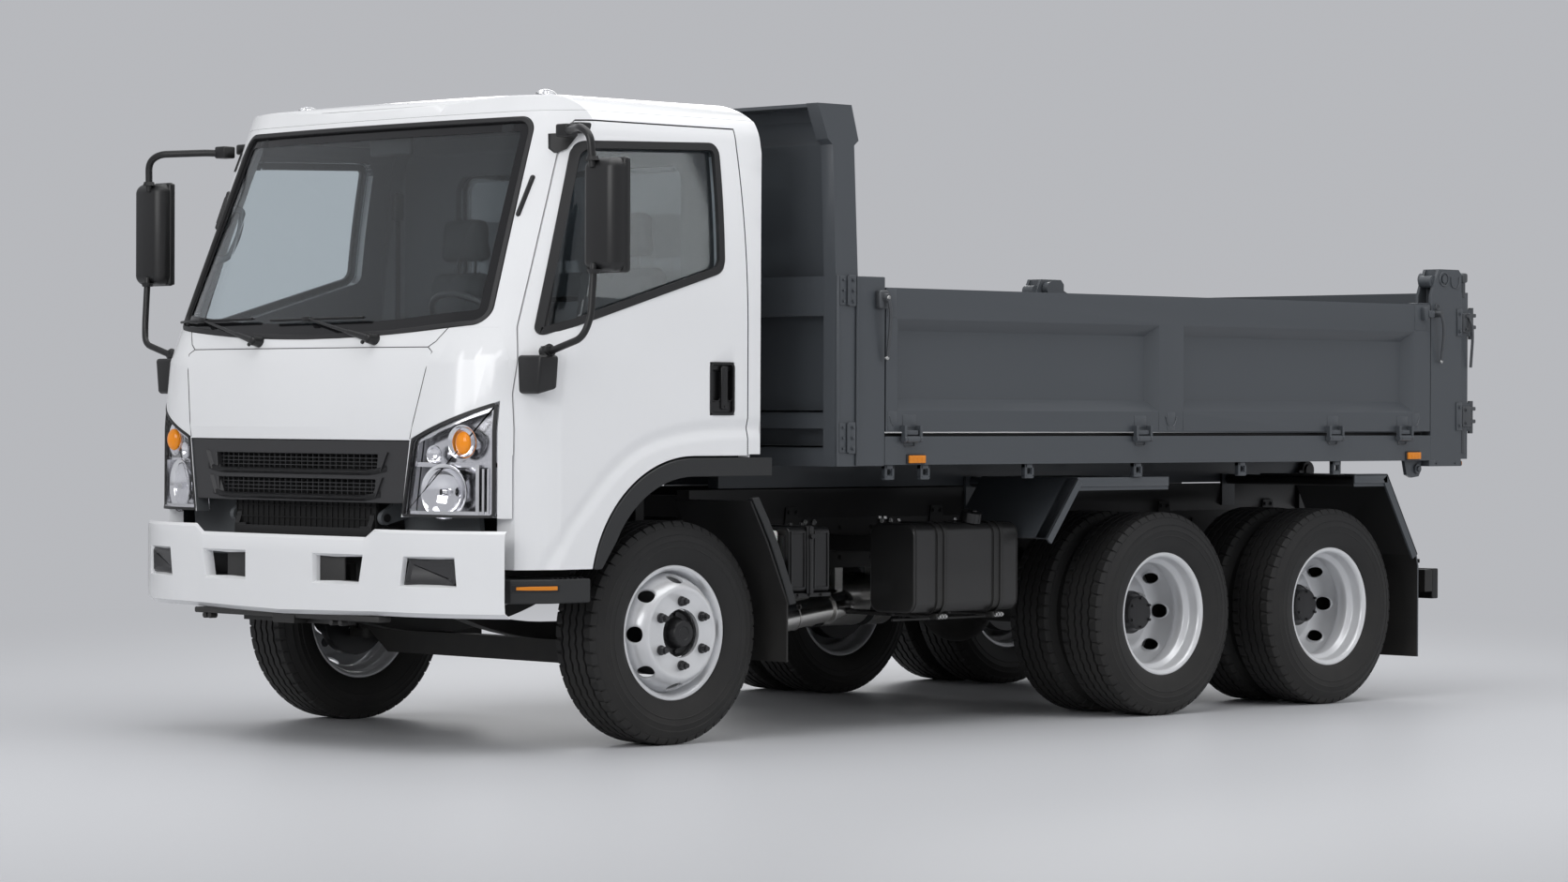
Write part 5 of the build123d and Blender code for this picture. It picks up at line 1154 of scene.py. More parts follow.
# ---------------------------------------------------------------- roof lamps, pillar slots and roof studs
# Two marker lamps with clear covers on black bases, each on a gasket, screwed to the roof's front.
# Black slots in the pillars cover the drip channel's drain, and two rubber studs close paint holes on each side.
lamp_clear = finish("marker_lens", (0.93, 0.94, 0.95), 0.05, shade=0.02, grain=300.0, bump=0.02,
                    sockets=(("Transmission Weight", 0.85), ("IOR", 1.35)))
for side in ("left", "right"):
    bm = bmesh.new()
    block_in(bm, (617, 711), (-398, -292), (2228, 2250), 9, 4)
    new_piece("marker_base_" + side, sided(bm, side), mirror_black, "cab")
    bm = bmesh.new()
    dome = bmesh.ops.create_uvsphere(bm, u_segments=28, v_segments=18, radius=1)["verts"]
    for vert in dome:
        vert.co = Vector((664 + 36 * vert.co.x * (1 - 0.1 * vert.co.z), -345 + 43 * vert.co.y, 2248 + 25 * vert.co.z))
    cover = new_piece("marker_cover_" + side, sided(bm, side), lamp_clear, "cab")
    if side == "left":
        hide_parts("roof_lamps")
    bm = bmesh.new()
    rod_in(bm, (664, -345, 2250), (664, -345, 2262), 13, 9, 20)
    block_in(bm, (640, 688), (-372, -318), (2248, 2253), 2)
    new_piece("marker_bulb_" + side, sided(bm, side), chrome, "cab")
    bm = bmesh.new()
    path = [front_place(842 + step, 1826 + 15.75 * step) for step in range(9)]
    tube_in(bm, path, 9, segments=12)
    tube_in(bm, [point + Vector((1.5, -5, 0)) for point in path[1:-1]], 6, segments=8)
    for point in (path[0], path[-1]):
        ball_in(bm, point, 9, 12, 8)
    for place in ((884, -410, 2210), (915, -398, 2182)):
        ball_in(bm, place, 8)
    new_piece("pillar_slot_" + side, sided(bm, side), rubber, "cab")

# ---------------------------------------------------------------- cab lining and dashboard
# Moulded grey linings cover the inner faces of the steel cab, and a soft-skinned dashboard spans it under the glass.
# Linings are held by clips; the dashboard is screwed to a beam behind it.
LINING = (0.10, 0.108, 0.115)
lining_grey = finish("cab_lining", LINING, 0.62, shade=0.06, grain=1500.0, bump=0.12)
dash_grey = finish("dash_skin", (0.075, 0.084, 0.090), 0.55, shade=0.06, grain=1800.0, bump=0.2)
dark_trim = finish("dark_trim", (0.020, 0.021, 0.023), 0.45, shade=0.08, grain=1500.0, bump=0.1)


CAB_BACK, LINING_TOP, CAB_MIDDLE = 396.0, 2190.0, Vector((0, 40, 1650))


def line_inside(name, depth):
    """Gives the faces that look into the cab the lining's finish."""
    mesh = scene.objects[name].data
    mesh.materials.append(lining_grey)
    for face in mesh.polygons:
        middle = face.center * 1000
        x, y, z = middle.x, middle.y + ROW_SHIFT, middle.z
        inside = abs(x) < side_skin(y, z) - depth and front_skin(x, z) + depth < y < CAB_BACK - depth / 2
        inward = (CAB_MIDDLE - Vector((x, y, z))).normalized().dot(face.normal) > 0.05
        if inside and inward and z < LINING_TOP:
            face.material_index = 1


for name in ("cab_front_panel", "cab_roof_panel", "cab_back_panel", "cab_side_frame", "door_panel_left",
             "door_panel_right"):
    line_inside(name, 30 if name.startswith("door") else 20)
paint(lining_grey, "interior_plastic", "cab_floor")
panel("dashboard", "dashboard_skin", dash_grey, 14.0, 4)
bm = bmesh.new()
for x, width in ((400, 190), (-60, 150)):
    hood = block_in(bm, (x - width, x + width), (-700, -585), (1396, 1428), 14, 4)
    for vert in hood:
        vert.co.z -= 22 * ((vert.co.x - x) / width) ** 2
for x in (-620, -340, 120, 690):
    block_in(bm, (x - 75, x + 75), (-557, -545), (1300, 1352), 4)
    for step in range(5):
        block_in(bm, (x - 68, x + 68), (-548, -541), (1306 + step * 10, 1309 + step * 10), 0.8)
block_in(bm, (-110, 60), (-556, -544), (1215, 1290), 4)
new_piece("dashboard_trim", bm, dark_trim, "cab", edge=1.0)

# ---------------------------------------------------------------- steering wheel and small controls
# Foam-covered steel rim on three spokes with a padded boss and two stalks; levers stand on the floor's middle.
WHEEL_MIDDLE, WHEEL_R, WHEEL_TILT = Vector((400.0, -400.0, 1430.0)), 205.0, math.radians(-40.0)
bm = bmesh.new()
spin_in(bm, [(12 * math.cos(turn), WHEEL_R + 12 * math.sin(turn)) for turn in
             [math.tau * step / 12 for step in range(13)]], 56)
bmesh.ops.rotate(bm, cent=(0, 0, 0), matrix=Matrix.Rotation(math.radians(90), 3, "Y"), verts=bm.verts)
boss = bmesh.ops.create_uvsphere(bm, u_segments=28, v_segments=14, radius=1)["verts"]
for vert in boss:
    vert.co = Vector((62 * vert.co.x, 56 * vert.co.y, 8 + 22 * vert.co.z))
for angle in (90, 210, 330):
    spoke = block_in(bm, (40, WHEEL_R - 4), (-15, 15), (-7, 5), 4, 3)
    bmesh.ops.rotate(bm, cent=(0, 0, 0), matrix=Matrix.Rotation(math.radians(angle), 3, "Z"), verts=spoke)
rod_in(bm, (0, 0, 0), (0, 0, -205), 26, 30, 24)
for reach in (-150, 150):
    tube_in(bm, [(reach * 0.2, 20, -46), (reach * 0.6, 24, -40), (reach, 34, -30)], 6, segments=8, rounding=20)
bmesh.ops.remove_doubles(bm, verts=bm.verts, dist=0.01)
bmesh.ops.rotate(bm, cent=(0, 0, 0), matrix=Matrix.Rotation(WHEEL_TILT, 3, "X"), verts=bm.verts)
bmesh.ops.translate(bm, vec=WHEEL_MIDDLE, verts=bm.verts)
rim = new_piece("steering_wheel_rim", bm, dark_trim, "cab", smooth=45)
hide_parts("steering_wheel")
bm = bmesh.new()
tube_in(bm, [(60, -330, 985), (64, -350, 1150), (70, -330, 1300)], 8, segments=10, rounding=60)
ball_in(bm, (70, -330, 1308), 24, 16, 12)
block_in(bm, (20, 110), (-390, -270), (950, 1010), 18, 4)
new_piece("gear_lever", bm, dark_trim, "cab")
# inside mirror, grab handles on the front pillars and belt reels on the rear ones
bm = bmesh.new()
block_in(bm, (-112, 112), (-498, -474), (2060, 2132), 10, 4)
tube_in(bm, [(0, -480, 2110), (0, -470, 2160), (0, -440, 2192)], 7, segments=10, rounding=20)
new_piece("inside_mirror", bm, dark_trim, "cab")
handle_grey = finish("grab_handle", (0.30, 0.32, 0.34), 0.5, shade=0.05, grain=1500.0, bump=0.1)
bm = bmesh.new()
tube_in(bm, [(835, -560, 1895), (800, -538, 1890), (790, -560, 1800), (806, -600, 1712), (850, -625, 1706)], 12,
        segments=14, rounding=44, steps=6)
block_in(bm, (822, 862), (-575, -545), (1882, 1908), 8, 3)
block_in(bm, (832, 872), (-640, -610), (1692, 1720), 8, 3)
new_piece("grab_handles", both(bm), handle_grey, "cab", smooth=45)
bm = bmesh.new()
block_in(bm, (930, 958), (286, 340), (1880, 1990), 10, 3)
block_in(bm, (938, 946), (300, 344), (1250, 1890), 1.5)
block_in(bm, (925, 965), (270, 345), (1150, 1255), 12, 3)
new_piece("belts", both(bm), dark_trim, "cab")

# ---------------------------------------------------------------- seats
# Foam cushions in dark woven cloth on a closed base: a driver's seat and a double passenger seat.
# Covers are sewn in panels and pulled tight over the foam, so each face swells and the corners stay in.
SEAT_PARTS = (("driver", 400.0, 232.0, (400.0,)), ("passenger", -330.0, 322.0, (-180.0, -500.0)))
seat_cloth = finish("seat_cloth", (0.046, 0.051, 0.055), 0.92, shade=0.12, patch=8.0, grain=1400.0, bump=0.5)


def cushion_in(bm, x, y, z, edge):
    """A block with well rounded edges, for a cushion that is still flat."""
    block = bmesh.new()
    block_in(block, x, y, z, edge, 5)
    before = set(bm.verts)
    join(bm, block)
    return [vert for vert in bm.verts if vert not in before]


def baked(piece, modifier):
    """The mesh a piece has with its modifiers, and the modifier taken off again."""
    made = bpy.data.meshes.new_from_object(piece.evaluated_get(bpy.context.evaluated_depsgraph_get()))
    piece.modifiers.remove(modifier)
    return made


def swell(piece, reach):
    """Blows a piece's cushions up by cloth pressure and holds every move to a reach in millimetres."""
    start = [vert.co.copy() for vert in piece.data.vertices]
    cloth = piece.modifiers.new("cloth", "CLOTH")
    cloth.settings.use_pressure = True
    cloth.settings.uniform_pressure_force = 4.0
    cloth.settings.quality = 5
    cloth.settings.effector_weights.gravity = 0.0
    cloth.point_cache.frame_end = 20
    for frame_number in range(1, 21):
        scene.frame_set(frame_number)
    made = baked(piece, cloth)
    scene.frame_set(1)
    for vert, home in zip(made.vertices, start):
        move = vert.co - home
        if move.length > reach / 1000:
            vert.co = home + move.normalized() * reach / 1000
    piece.data = made


for name, middle, half, heads in SEAT_PARTS:
    bm = bmesh.new()
    widths = [(middle - half, middle + half)] if len(heads) == 1 else \
        [(middle - half, middle - 8), (middle + 8, middle + half)]
    for low, high in widths:
        cushion_in(bm, (low, high), (-206, 140), (1134, 1236), 40)
        back = cushion_in(bm, (low, high), (168, 262), (1262, 1682), 38)
        for vert in back:
            vert.co.y += (vert.co.z - 1262) * 0.095 + 4
            waist = (vert.co.z - 1262) / 420
            vert.co.x -= (vert.co.x - (low + high) / 2) * 0.14 * waist ** 3
        cushion_in(bm, (low + 8, high - 8), (160, 300), (1134, 1240), 30)
    for head in heads:
        pad = cushion_in(bm, (head - 120, head + 120), (246, 309), (1716, 1872), 26)
        for vert in pad:
            vert.co.x -= (vert.co.x - head) * 0.16 * max(0.0, (vert.co.z - 1760) / 112) ** 2
    piece = new_piece(name + "_seat", bm, seat_cloth, "cab", smooth=60)
    grid = piece.modifiers.new("grid", "REMESH")
    grid.mode, grid.voxel_size = "VOXEL", 0.007
    piece.data = baked(piece, grid)
    if not piece.data.materials:
        piece.data.materials.append(seat_cloth)
    swell(piece, 11)
    piece.data.shade_smooth()
    fewer = piece.modifiers.new("fewer", "DECIMATE")
    fewer.ratio = 0.35
    if name == "driver":
        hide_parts("seats")
bm = bmesh.new()
for name, middle, half, heads in SEAT_PARTS:
    block_in(bm, (middle - half + 20, middle + half - 20), (-180, 280), (1070, 1128), 12, 3)
    for head in heads:
        for side in (-52, 52):
            rod_in(bm, (head + side, 280, 1660), (head + side, 280, 1730), 6, segments=12)
new_piece("seat_bases", bm, dark_trim, "cab")

# ---------------------------------------------------------------- tipping bed
# Folded and welded sheet steel in slate grey paint: floor and sills, tall headboard, posts and a hinged side each way.
# Folded edges are rounded and catch the light; weld seams and bolt heads are painted over with the rest.
SLATE = (0.060, 0.067, 0.076)
BED_SIDE = 1140.0
SIDE_HINGE_Y = (975.0, 2233.0, 3393.0, 3840.0)
FRONT_LATCH, REAR_LATCH = (834.0, 1560.0), (4052.0, 1568.0)
bed_slate = finish("bed_slate", SLATE, 0.36, coat=0.12, shade=0.07, patch=1.6, grain=420.0, bump=0.03, dust=0.08,
                   dust_top=1.1)
zinc = finish("zinc_steel", (0.50, 0.50, 0.49), 0.34, metal=1.0, shade=0.12, patch=30.0, grain=900.0, bump=0.06)
latch_steel = finish("latch_steel", (0.085, 0.090, 0.097), 0.38, metal=0.4, shade=0.1, patch=20.0, grain=900.0,
                     bump=0.05)


def bolt_in(bm, place, axis, width, washer=0.0):
    """A hexagon head, with a washer if asked, standing on a face."""
    way = Vector([1.0 if letter == axis[-1] else 0.0 for letter in "xyz"]) * (-1 if axis[0] == "-" else 1)
    place = Vector(place)
    if washer:
        rod_in(bm, place - way, place + way * 2, washer / 2, segments=16)
    rod_in(bm, place - way, place + way * (2 + width * 0.45), width / 2, width / 2.2, 6)


def carve(piece, bm):
    """Cuts a shape drawn in millimetres out of a piece for good."""
    bmesh.ops.recalc_face_normals(bm, faces=bm.faces)
    bm.transform(TO_ROW)
    cutter = placed("cutter", mesh_from(bm, "cutter"))
    shown = [(item, item.show_viewport) for item in piece.modifiers]
    for item in piece.modifiers:
        item.show_viewport = False
    cut = piece.modifiers.new("cut", "BOOLEAN")
    cut.operation, cut.object, cut.solver = "DIFFERENCE", cutter, "EXACT"
    bpy.context.view_layer.update()
    piece.data = baked(piece, cut)
    for item, state in shown:
        item.show_viewport = state
    bpy.data.objects.remove(cutter)
    shade_by_angle(piece.data, SHARP_ABOVE)


for node, name, edge in (("bed_floor", "bed_floor_panels", 3.0), ("headboard", "headboard_panels", 4.0),
                         ("front_posts", "front_post_panels", 4.0)):
    panel(node, name, bed_slate, edge)
posts = panel("rear_posts", "rear_post_panels", bed_slate, 4.0)
bm = bmesh.new()
block_in(bm, (1073, 1126), (3990, 4084), (1600, 1790))
block_in(bm, (-1126, -1073), (3990, 4084), (1600, 1790))
carve(posts, bm)
for node in ("drop_side_left", "drop_side_right", "tailgate"):
    panel(node, node + "_panel", bed_slate, 3.5)


# headboard column: hinge plates with bolts, a long pin and a folded flange beside the front post
bm = bmesh.new()
rod_in(bm, (BED_SIDE + 5, 704, 968), (BED_SIDE + 5, 704, 1642), 5, segments=12)
block_in(bm, (BED_SIDE - 1, BED_SIDE + 9), (601, 611), (966, 1643), 1.5)
for low in (1015, 1538):
    block_in(bm, (BED_SIDE - 1, BED_SIDE + 5), (616, 652), (low, low + 104), 2)
    block_in(bm, (BED_SIDE - 1, BED_SIDE + 8), (662, 697), (low - 4, low + 108), 3)
    rod_in(bm, (BED_SIDE + 8, 657, low), (BED_SIDE + 8, 657, low + 104), 6, segments=12)
    for step in (14, 52, 90):
        bolt_in(bm, (BED_SIDE + 5, 634, low + step), "x", 11)
        bolt_in(bm, (BED_SIDE + 8, 680, low + step), "x", 13, 17)
for z in (1040, 1165):
    block_in(bm, (-1078, 1078), (601, 607), (z - 8, z + 1), 1.5)
for x in (-540, 0, 540):
    block_in(bm, (x - 30, x + 30), (610, 661), (966, 1640), 4)
new_piece("headboard_hinges", both(bm), bed_slate, "bed", edge=0.8)

# latches of the drop side: a housing, a cranked lever with a bright end and its keeper on the side's end
for side in ("left", "right"):
    bm = bmesh.new()
    y, z = FRONT_LATCH
    block_in(bm, (BED_SIDE - 1, BED_SIDE + 26), (y - 34, y + 12), (z - 32, z + 34), 8, 3)
    rod_in(bm, (BED_SIDE + 24, y - 6, z + 8), (BED_SIDE + 40, y - 6, z + 8), 17, 14, 20)
    tube_in(bm, [(BED_SIDE + 36, y - 6, z + 10), (BED_SIDE + 42, y + 2, z - 30), (BED_SIDE + 36, y + 8, z - 90),
                 (BED_SIDE + 20, y + 9, z - 206)], 6.5, segments=12, rounding=30, steps=4)
    y, z = REAR_LATCH
    rod_in(bm, (BED_SIDE - 1, y, z), (BED_SIDE + 40, y, z), 15, 13, 20)
    tube_in(bm, [(BED_SIDE + 34, y - 4, z + 4), (BED_SIDE + 40, y + 8, z - 34), (BED_SIDE + 34, y + 20, z - 80),
                 (BED_SIDE + 16, y + 26, z - 192)], 6, segments=12, rounding=26, steps=4)
    ring = [(BED_SIDE + 8, y + 8 + 11 * math.cos(turn), z + 28 + 11 * math.sin(turn))
            for turn in [math.tau * step / 12 for step in range(13)]]
    tube_in(bm, ring, 2.6, segments=8)
    new_piece("latch_levers_" + side, sided(bm, side), latch_steel, "bed",
              edge=0.8)
    bm = bmesh.new()
    y, z = FRONT_LATCH
    rod_in(bm, (BED_SIDE + 39, y - 6, z + 8), (BED_SIDE + 44, y - 6, z + 8), 8, 6, 12)
    ball_in(bm, (BED_SIDE + 19, y + 8, z - 208), 8.5)
    tube_in(bm, [(BED_SIDE + 19, y - 4, z - 208), (BED_SIDE + 24, y + 8, z - 204), (BED_SIDE + 19, y + 14, z - 208)],
            2.6, segments=8)
    y, z = REAR_LATCH
    ball_in(bm, (BED_SIDE + 15, y + 26, z - 194), 8)
    new_piece("latch_ends_" + side, sided(bm, side), zinc, "bed")
    bm = bmesh.new()
    y, z = REAR_LATCH
    block_in(bm, (BED_SIDE - 1, BED_SIDE + 24), (3962, 3984), (z - 26, z + 26), 4, 3)
    block_in(bm, (BED_SIDE + 4, BED_SIDE + 28), (3984, 4020), (z - 15, z + 13), 5, 3)
    block_in(bm, (BED_SIDE - 1, BED_SIDE + 1.6), (861, 908), (1500, 1603), 1)
    block_in(bm, (BED_SIDE - 1, BED_SIDE + 1.6), (3920, 4018), (1500, 1603), 1)
    for near in (888, 2412, 3930):
        block_in(bm, (BED_SIDE - 1, BED_SIDE + 1.4), (near - 23, near + 23), (1094, 1163), 0.8)
    for y, lean in ((884, -1), (2391, -1), (2434, 1), (3942, 1)):
        tube_in(bm, [(BED_SIDE + 1.5, y - 11 * lean, 1108), (BED_SIDE + 1.5, y + 1 * lean, 1120),
                     (BED_SIDE + 1.5, y + 11 * lean, 1146)], 2.6, segments=6)
    for y in SIDE_HINGE_Y:
        block_in(bm, (BED_SIDE - 1, BED_SIDE + 2), (y - 34, y + 34), (1104, 1150), 1)
        block_in(bm, (BED_SIDE + 4, BED_SIDE + 20), (y - 30, y + 30), (1077, 1095), 4, 3)
    for y in (2341, 2484):
        block_in(bm, (BED_SIDE - 1, BED_SIDE + 1.2), (y - 1.6, y + 1.6), (1093, 1166), 0.6)
    new_piece("side_fittings_" + side, sided(bm, side), bed_slate, "drop_side_" + side,
              edge=0.6)

# sill: wire loops under the hinges, rounded rope plates and the dark seal in the gap under the side
bm = bmesh.new()
for y in SIDE_HINGE_Y:
    tube_in(bm, [(BED_SIDE + 1, y - 26, 1052), (BED_SIDE + 2, y - 26, 1036), (BED_SIDE + 2, y + 26, 1036),
                 (BED_SIDE + 1, y + 26, 1052)], 2.5, segments=8, rounding=9, steps=3)
new_piece("hinge_loops", both(bm), latch_steel, "bed")
bm = bmesh.new()
for y in (888, 1072, 1627, 2237, 2851, 3437):
    for low, high in ((-24, -13), (13, 24)):
        block_in(bm, (1108, 1130), (y + low, y + high), (922, 972), 3, 3)
    block_in(bm, (1108, 1130), (y - 24, y + 24), (916, 932), 4, 3)
    block_in(bm, (1108, 1130), (y - 24, y + 24), (955, 972), 2)
prism_in(bm, [(3900, 972), (4012, 972), (4012, 930), (3996, 905), (3950, 900), (3916, 912)], "x",
         (1090, 1106))
rod_in(bm, (1080, 3980, 936), (1116, 3980, 936), 20, segments=24)
rod_in(bm, (1114, 3980, 936), (1124, 3980, 936), 12, segments=6)
new_piece("rope_plates", both(bm), bed_slate, "bed", edge=1.2)
bm = bmesh.new()
block_in(bm, (1086, 1098), (862, 4018), (1066, 1084), 2)
new_piece("side_seals", both(bm), rubber, "bed")

# rear posts: roller between the twin plates, big washer and bolt on the pivot, bracket and hinge plates
bm = bmesh.new()
rod_in(bm, (1070, 4056, 1700), (1129, 4056, 1700), 25, segments=28)
rod_in(bm, (1127, 4056, 1700), (1132, 4056, 1700), 12, segments=16)
rim = [(BED_SIDE + 1, 4112 + 27 * math.cos(turn), 1712 + 27 * math.sin(turn))
       for turn in [math.tau * step / 24 for step in range(25)]]
tube_in(bm, rim, 4, segments=8)
tube_in(bm, [(BED_SIDE + 2, 4160, 1722), (BED_SIDE + 2, 4160, 1694), (BED_SIDE + 2, 4168, 1680),
             (BED_SIDE + 2, 4200, 1676), (BED_SIDE + 2, 4214, 1690), (BED_SIDE + 2, 4214, 1722)], 3, segments=8,
        rounding=8, steps=3)
block_in(bm, (BED_SIDE - 1, BED_SIDE + 6), (4200, 4232), (1480, 1592), 2)
block_in(bm, (BED_SIDE - 1, BED_SIDE + 6), (4196, 4232), (1092, 1208), 2)
for z in (1500, 1572, 1112, 1188):
    bolt_in(bm, (BED_SIDE + 6, 4213, z), "x", 13, 18)
block_in(bm, (1060, 1134), (3984, 4029), (1604, 1612), 2)
block_in(bm, (1058, 1141), (4020, 4060), (946, 972), 3)
for y in (4068, 4194):
    bolt_in(bm, (BED_SIDE - 1, y, 958), "x", 8)
new_piece("post_fittings", both(bm), bed_slate, "bed", edge=0.8)

# ---------------------------------------------------------------- tailgate fittings
# Knuckles, straps and locking levers are forged and turned steel, painted slate and bolted to the gate's sides.
# They swing with the gate, which hangs from the pins at the top of the posts.
for side in ("left", "right"):
    bm = bmesh.new()
    for low, high in ((1092, 1208), (1480, 1592)):
        block_in(bm, (1122, 1142), (4242, 4300), (low + 16, high - 16), 5, 3)
        rod_in(bm, (1122, 4318, low - 12), (1122, 4318, high + 6), 11, segments=20)
        block_in(bm, (1106, 1140), (4300, 4334), (low + 30, low + 46), 4)
        block_in(bm, (1106, 1140), (4300, 4334), (high - 34, high - 18), 4)
        for z in (low + 30, high - 30):
            bolt_in(bm, (1142, 4262, z), "x", 13, 18)
    rod_in(bm, (1120, 4262, 1000), (1120, 4262, 1094), 15, segments=20)
    rod_in(bm, (1120, 4262, 1640), (1120, 4262, 1718), 13, segments=20)
    block_in(bm, (1100, 1138), (4244, 4280), (1700, 1740), 9, 3)
    tube_in(bm, [(1142, 4280, 1560), (1156, 4284, 1530), (1154, 4290, 1470), (1140, 4296, 1352)], 6, segments=12,
            rounding=26, steps=4)
    rod_in(bm, (1128, 4280, 1562), (1150, 4280, 1562), 13, segments=16)
    new_piece("gate_fittings_" + side, sided(bm, side), latch_steel, "tailgate",
              smooth=40, edge=0.8)
bm = bmesh.new()
for x in (-700, -120, 120, 700):
    block_in(bm, (x - 26, x + 26), (4289, 4300), (1006, 1046), 3)
tube_in(bm, [(-240, 4290, 1612), (-240, 4322, 1612), (240, 4322, 1612), (240, 4290, 1612)], 8, segments=10,
        rounding=18, steps=4)
new_piece("gate_handles", bm, bed_slate, "tailgate", edge=0.8)

# ---------------------------------------------------------------- side marker lamps
# Amber moulded lenses in black rubber frames, at both ends of the sill and on the posts' feet.
# Each lens is ribbed to spread its light and is screwed on over its frame.
AMBER_Y = (1009.0, 3910.0)
marker_amber = finish("marker_amber", (0.62, 0.20, 0.012), 0.16, shade=0.15, patch=40.0, grain=500.0, bump=0.2,
                      sockets=(("Emission Strength", 0.06), ("Emission Color", (1.0, 0.36, 0.02, 1))))
bm = bmesh.new()
for y in AMBER_Y:
    block_in(bm, (BED_SIDE - 1, BED_SIDE + 6), (y - 48, y + 45), (972, 1008), 4, 3)
block_in(bm, (1096, 1138), (4232, 4243), (947, 968), 3)
new_piece("marker_frames", both(bm), rubber, "bed")
bm = bmesh.new()
for y in AMBER_Y:
    block_in(bm, (BED_SIDE + 2, BED_SIDE + 13), (y - 42, y + 42), (976, 1004), 3, 3)
    for part in (-21, 0, 21):
        block_in(bm, (BED_SIDE + 12, BED_SIDE + 14), (y + part - 1.5, y + part + 1.5), (980, 1000), 0.5)
block_in(bm, (1100, 1134), (4242, 4250), (950, 965), 2)
new_piece("marker_lenses", both(bm), marker_amber, "bed")

# ---------------------------------------------------------------- frame, axles and springs
# Pressed channel rails, forged axle beams, cast housings and leaf springs, all in satin black chassis paint.
# They are riveted, bolted and pinned; a film of road dust lies on everything low.
chassis_black = finish("chassis_satin", (0.008, 0.008, 0.0085), 0.42, shade=0.12, patch=5.0, grain=600.0, bump=0.06,
                       dust=0.18, dust_top=0.9)
cast_black = finish("cast_black", (0.008, 0.008, 0.0085), 0.55, shade=0.15, patch=9.0, grain=260.0, bump=0.25,
                    dust=0.3, dust_top=0.8)
for node in ("subframe", "leaf_springs", "tail_bar"):
    panel(node, node + "_steel", chassis_black, 2.0, 1)
paint(cast_black, "cast", "front_axle", "rear_axles", "drive_train", "knuckle_left", "knuckle_right")
paint(chassis_black, "chassis_paint", "frame_rails", "tie_rod", "hoist_barrel")
hoist_chrome = finish("hoist_chrome", (0.62, 0.63, 0.64), 0.12, metal=1.0, shade=0.04, patch=20.0, grain=700.0,
                      bump=0.02)
paint(hoist_chrome, "chrome_rod", "hoist_rod")
RAIL_OUT_X = 385.0
bm = bmesh.new()
for y in range(700, 4100, 170):
    for z in (608, 722):
        bolt_in(bm, (RAIL_OUT_X, y, z), "x", 15, 20)
for y in (780, 1120, 1900, 2520, 3240, 3900):
    # gusset and angle that tie the tipping frame to the rail
    prism_in(bm, [(y - 44, 700), (y + 44, 700), (y + 30, 800), (y - 30, 800)], "x", (386, 393))
    for side in (-20, 20):
        bolt_in(bm, (393, y + side, 782), "x", 14, 20)
new_piece("frame_bolts", both(bm), cast_black, "chassis", smooth=30)
bm = bmesh.new()
for y in (900, 1210, 1620, 2080):
    for step in (-24, 24):
        bolt_in(bm, (RAIL_OUT_X + 9, y + step, 745), "x", 13, 19)
for x in (795, 822):
    bolt_in(bm, (x, 1178, 768), "z", 13, 18)
new_piece("bright_bolts", both(bm), zinc, "chassis", smooth=30)
# brake chambers, air pipes and the cable loom along the rails
bm = bmesh.new()
for y in (2240, 3250):
    rod_in(bm, (452, y, 560), (520, y, 560), 74, 74, 28)
    rod_in(bm, (520, y, 560), (552, y, 560), 74, 40, 28)
for z in (640, 672, 690):
    tube_in(bm, [(392, 640, z), (396, 900, z - 6), (392, 1180, z + 4), (394, 1500, z - 4), (392, 1790, z)], 7,
            segments=8, rounding=120, steps=4)
tube_in(bm, [(560, 30, 560), (500, 60, 640), (420, 160, 690), (398, 420, 690)], 9, segments=8, rounding=60)
new_piece("brake_lines", both(bm), cast_black, "chassis")

# ---------------------------------------------------------------- fuel tank
# Satin black steel tank with rolled corners, held in two brackets by double-ribbed straps.
# Each strap is drawn tight by a bright nut below; the filler stands on the outer shoulder under a black cap.
TANK = ((770.0, 1000.0), (1150.0, 1709.0), (424.0, 750.0))
TANK_ROUND = 46.0
STRAP_Y = (1293, 1595)
tank_black = finish("tank_black", (0.013, 0.013, 0.0135), 0.34, coat=0.1, shade=0.08, patch=4.0, grain=500.0,
                    bump=0.04, dust=0.12, dust_top=0.8)


def loop_in(bm, y, proud, steps=8):
    """A flat band round the tank, between two places along it."""
    (left, right), (low, high) = [(a + TANK_ROUND, b - TANK_ROUND) for a, b in (TANK[0], TANK[2])]
    corners = ((right, high, 0), (left, high, 90), (left, low, 180), (right, low, 270))
    rings = []
    for along, extra in ((y[0], -1), (y[0], proud), (y[1], proud), (y[1], -1)):
        ring = []
        for x, z, first in corners:
            for step in range(steps + 1):
                turn, reach = math.radians(first + 90 * step / steps), TANK_ROUND + extra
                ring.append(bm.verts.new((x + reach * math.cos(turn), along, z + reach * math.sin(turn))))
        rings.append(ring)
    for one, two in zip(rings, rings[1:] + rings[:1]):
        for index in range(len(one)):
            after = (index + 1) % len(one)
            bm.faces.new((one[index], one[after], two[after], two[index]))


